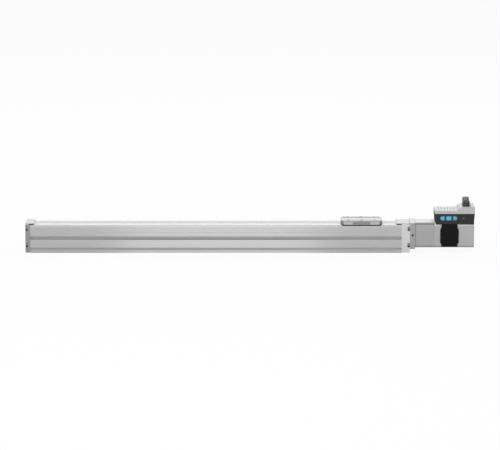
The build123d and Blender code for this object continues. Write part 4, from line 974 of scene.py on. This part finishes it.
for side in ("left", "right"):
    low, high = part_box(f"end_cap_screws_{side}")
    band_x = low.x + HEAD_MIDDLE if side == "left" else high.x - HEAD_MIDDLE
    for row, z in (("low", low.z + HEAD_RADIUS), ("high", high.z - HEAD_RADIUS)):
        for edge, y in (("front", low.y + HEAD_RADIUS), ("rear", high.y - HEAD_RADIUS)):
            knurl = grow(f"screw_knurl_{side}_{row}_{edge}", knurl_ring, {
                "centre x": band_x, "centre y": y, "centre z": z, "radius": HEAD_RADIUS - HEAD_RIDGE,
                "height": HEAD_BAND, "ridge": HEAD_RIDGE, "ridges count": HEAD_RIDGES,
                "tilt": math.pi / 2}, screw_finish)
            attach(knurl, "base")

# %% [markdown]
# ## Seals, lips and plates of painted shade
# Thin pieces close gaps on the real axis: soft lips beside the strip, which the carriage's arms part as
# they pass, a black wiper over the rail's front edge that is also the carriage's painted contact shadow,
# and a skirt that hides the wiper frame. Dark brown plates under the clamps are painted shadow, and a grey
# plate in the lubrication pocket is painted shade. All have one section along a straight line, so one
# helper makes them.

# %% A straight piece with a given outline
ALONG = {"X": (0, 1, 2), "Y": (1, 0, 2), "Z": (2, 0, 1)}


def prism(name, outline, start, end, material, along="X"):
    """Pushes an outline of two coordinates along the third axis and closes both ends."""
    form = bmesh.new()
    rows = []
    for place in (start, end):
        row = []
        for first, second in outline:
            point = [0.0, 0.0, 0.0]
            for axis, value in zip(ALONG[along], (place, first, second)):
                point[axis] = value
            row.append(form.verts.new(point))
        rows.append(row)
    for row in rows:
        form.faces.new(row)
    for index in range(len(outline)):
        after = (index + 1) % len(outline)
        form.faces.new((rows[0][index], rows[1][index], rows[1][after], rows[0][after]))
    return keep_form(name, form, material)


def rectangle(low_u, high_u, low_v, high_v):
    return [(low_u, low_v), (high_u, low_v), (high_u, high_v), (low_u, high_v)]


# %% Soft lips beside the strip
SLOT_HALF = 0.0120
LIP_ROOT = 0.0011
LIP_FOOT = 0.0003
LIP_EDGE = 0.0002

strip_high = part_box("cover_strip")[1]
lip_top = strip_high.z - FINE / 6
for name, side in (("strip_lip_front", -1), ("strip_lip_rear", 1)):
    root_y, inner_y = side * (SLOT_HALF - FINE / 6), side * (strip_high.y + FINE / 6)
    outer_y = inner_y + side * LIP_EDGE
    section = [(root_y, rail_high.z - LIP_ROOT), (root_y, rail_high.z - FINE / 3),
               (outer_y, rail_high.z + FINE / 2), (outer_y, lip_top), (inner_y, lip_top),
               (inner_y, rail_high.z - LIP_FOOT)]
    lip = prism(name, section, rail_low.x, rail_high.x, seal_pale)
    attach(lip, "base")
print("lips up to", round(lip_top, 5))

# %% Painted shadow under both clamps: dark brown plates below their overhangs
CLAMP_SHADOW_TOP = 0.0497
CLAMP_SHADOW_PROUD = 0.00025
CLAMP_SHADOW_SPANS = {"clamp_shadow_left": (-0.3190, -0.3112), "clamp_shadow_right": (0.3032, 0.3110)}

clamp_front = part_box("strip_clamp_left")[0].y
for name, (start, end) in CLAMP_SHADOW_SPANS.items():
    section = rectangle(clamp_front - CLAMP_SHADOW_PROUD, clamp_front, rail_high.z + FINE / 10, CLAMP_SHADOW_TOP)
    clamp_shadow = prism(name, section, start, end, pad_brown)
    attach(clamp_shadow, "base")
print("clamp_shadows", list(CLAMP_SHADOW_SPANS))

# %% The carriage's wiper, which also paints its contact shadow on the rail's front edge, and its ledge
WIPER_FRONT = 0.0230
WIPER_WALL = 0.00036
WIPER_DROP = 0.0018
WIPER_END_INSET = 0.0022

guide_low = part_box("strip_guides")[0]
leg_low, leg_high = guide_low.z + FINE / 10, guide_low.z + FINE
back_y = guide_low.y - FINE / 10
wiper_span = (table_low.x + WIPER_END_INSET, table_high.x - WIPER_END_INSET)
ledge = prism("wiper_ledge", rectangle(-WIPER_FRONT + FINE / 10, back_y, leg_low, leg_high), *wiper_span,
              table_finish)
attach(ledge, "carriage")
# The black wiper lip over the rail's front edge is also the carriage's painted contact shadow.
wiper = prism("carriage_wiper_and_shadow", rectangle(-WIPER_FRONT, -WIPER_FRONT + WIPER_WALL, leg_low - WIPER_DROP,
                                          leg_low), *wiper_span, wiper_black)
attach(wiper, "carriage")
print("wiper length", round(wiper_span[1] - wiper_span[0], 4))

# %% The skirt below the table's front, and a grey plate of painted shade in its pocket
POCKET_HALF = 0.0145
POCKET_TOP = 0.0532
SHADE_PLATE_INSET = 0.0006

pocket_left, pocket_right = table_middle.x - POCKET_HALF, table_middle.x + POCKET_HALF
skirt_spans = [
    ("table_skirt_left", table_low.x + TABLE_CORNER, pocket_left, table_finish, "anodised_table"),
    ("table_skirt_middle", pocket_left, pocket_right, liner_grey, "black_plastic"),
    ("table_skirt_right", pocket_right, table_high.x - TABLE_CORNER, table_finish, "anodised_table"),
]
for name, start, end, material, slot_name in skirt_spans:
    skirt = prism(name, rectangle(table_low.y, back_y, leg_high, table_low.z), start, end, material)
    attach(skirt, "carriage")
# A grey plate with cut top corners at the back of the pocket paints the shade in the recess.
corner = 3 * SHADE_PLATE_INSET
left, right, top = pocket_left + SHADE_PLATE_INSET, pocket_right - SHADE_PLATE_INSET, POCKET_TOP - SHADE_PLATE_INSET
outline = [(left, table_low.z), (right, table_low.z), (right, top - corner), (right - corner, top),
           (left + corner, top), (left, top - corner)]
shade_plate = prism("pocket_shade_plate", outline, table_low.y + 2 * SHADE_PLATE_INSET, table_low.y + 3 * SHADE_PLATE_INSET,
              liner_grey, "Y")
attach(shade_plate, "carriage")
print("table length", round(table_high.x - table_low.x, 4))

# %% [markdown]
# ## Bores and the fine line of the table
# The table's four threaded holes and two centring bores look black in the milled face. The solids have
# the holes, and a thin dark sleeve in each shows the shadow and the thread's oxide. One tree sets all
# sleeves of a kind on a grid. A thin dark plate makes the fine line behind them.

# %% A grid of short sleeves
SLEEVE_SIDES = 24
sleeve_grid = Shape("sleeve_grid", "centre x", "top z", "span x", "span y", "columns count", "radius",
                    "wall", "depth")
sleeve_line = sleeve_grid.node("GeometryNodeCurvePrimitiveCircle", None, {
    "Resolution": SLEEVE_SIDES, "Radius": sleeve_grid.size("radius") - sleeve_grid.size("wall") * 0.5})
sleeve_section = sleeve_grid.node("GeometryNodeCurvePrimitiveQuadrilateral", None, {0: "wall", 1: "depth"})
sleeve = sleeve_grid.node("GeometryNodeCurveToMesh", None, {0: sleeve_line, 1: sleeve_section})
places = sleeve_grid.node("GeometryNodeMeshGrid", None, {0: "span x", 1: "span y", 2: "columns count", 3: 2})
sleeves = sleeve_grid.node("GeometryNodeInstanceOnPoints", None, {0: places, "Instance": sleeve})
deep = sleeve_grid.size("top z") - sleeve_grid.size("depth") * 0.5
sleeve_grid.close(sleeves, ("centre x", 0.0, deep))

# %% Dark bores in the table: their span along it, columns, radius and depth
TABLE_HOLE_X = 0.0220
TABLE_HOLE_Y = 0.0155
SLEEVE_WALL = 0.00015
BORES = {
    "thread_bores": (2 * TABLE_HOLE_X, 2, 0.00164, 0.0042),
    "centring_bores": (0.0, 1, 0.00249, 0.0022),
}

for name, (span, columns, radius, depth) in BORES.items():
    bores = grow(name, sleeve_grid, {
        "centre x": table_middle.x, "top z": table_high.z - FINE / 3, "span x": span,
        "span y": 2 * TABLE_HOLE_Y, "columns count": columns, "radius": radius, "wall": SLEEVE_WALL,
        "depth": depth}, oxide_finish)
    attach(bores, "carriage")

# %% The fine line along the rear of the table's top
LINE_LOW_Y = 0.0088
LINE_HIGH_Y = 0.0122
LINE_END_INSET = 0.0035
LINE_RAISED = 0.00004

outline = rectangle(table_low.x + LINE_END_INSET, table_high.x - LINE_END_INSET, LINE_LOW_Y, LINE_HIGH_Y)
top = table_high.z
line = prism("table_line", outline, top - LINE_RAISED, top + LINE_RAISED, oxide_finish, "Z")
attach(line, "carriage")
print("line faces", len(line.data.polygons))

# %% [markdown]
# ## Marks on the label and the keys
# The pale label on the low part of the controller carries a row of six grey marks, which are plain bars.
# Each key carries a plain sign: an arrow, a square and an arrow, and dark blue plates between and round
# the keys are painted shade. They could be printed on with a pattern, but thin pieces keep their sharp
# edges.

# %% A row of short bars
bar_row = Shape("bar_row", "first x", "row y", "top z", "pitch", "bars count", "bar length", "bar depth",
                "raised")
bar_size = bar_row.vector("bar length", "bar depth", "raised")
bar = bar_row.node("GeometryNodeMeshCube", None, {"Size": bar_size})
points = bar_row.node("GeometryNodeMeshLine", None, {
    "Count": "bars count", "Start Location": bar_row.vector("first x", "row y", "top z"),
    "Offset": bar_row.vector("pitch", 0.0, 0.0)})
bar_row.close(bar_row.node("GeometryNodeInstanceOnPoints", None, {0: points, "Instance": bar}))

# %% The label's marks: the row's place across the label, and each bar's depth and length
MARKS_X = 0.3738
MARK_PITCH = 0.0050
MARK_COUNT = 6
MARK_RAISED = 0.0001
MARK_ROWS = {
    "label_marks_rear": (0.0045, 0.0130, 0.0013),
    "label_marks_front": (-0.0080, 0.0020, 0.0026),
}

label_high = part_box("controller_label")[1]
for name, (y, depth, length) in MARK_ROWS.items():
    marks = grow(name, bar_row, {
        "first x": MARKS_X, "row y": y, "top z": label_high.z, "pitch": MARK_PITCH, "bars count": MARK_COUNT,
        "bar length": length, "bar depth": depth, "raised": MARK_RAISED}, mark_grey)
    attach(marks, "base")

# %% The signs on the keys
SIGN_SIZE = 0.0017
SIGN_RAISED = 0.00006
SIGNS = {
    "key_left": [(-1.0, 0.0), (0.8, -1.0), (0.8, 1.0)],
    "key_middle": [(-1.4, -0.8), (1.4, -0.8), (1.4, 0.8), (-1.4, 0.8)],
    "key_right": [(1.0, 0.0), (-0.8, 1.0), (-0.8, -1.0)],
}

for key, corners in SIGNS.items():
    low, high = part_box(key)
    middle = (low + high) / 2
    outline = [(middle.x + x * SIGN_SIZE, middle.z + z * SIGN_SIZE) for x, z in corners]
    sign = prism(f"{key}_sign", outline, low.y - SIGN_RAISED, low.y + SIGN_RAISED, icon_blue, "Y")
    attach(sign, f"{key}_cap")
print("signs", list(SIGNS))

# %% Dark blue painted shade between and round the keys: left, right, bottom and top from the row's middle
PANEL_FRONT = 0.0220
KEY_GAP_SHADE_RAISED = 0.0002
KEY_GAP_SHADE = {
    "key_gap_shade_web_left": (-0.0063, -0.0052, -0.0036, 0.0036),
    "key_gap_shade_web_right": (0.0052, 0.0063, -0.0036, 0.0036),
    "key_gap_shade_top": (-0.0132, 0.0132, 0.0040, 0.0050),
    "key_gap_shade_bottom": (-0.0132, 0.0132, -0.0050, -0.0040),
}

for name, (left, right, bottom, top) in KEY_GAP_SHADE.items():
    outline = rectangle(KEY_ROW_X + left, KEY_ROW_X + right, KEY_ROW_Z + bottom, KEY_ROW_Z + top)
    gap_shade = prism(name, outline, -PANEL_FRONT - KEY_GAP_SHADE_RAISED, -PANEL_FRONT, surround_blue, "Y")
    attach(gap_shade, "base")
print("surround pieces", len(KEY_GAP_SHADE))
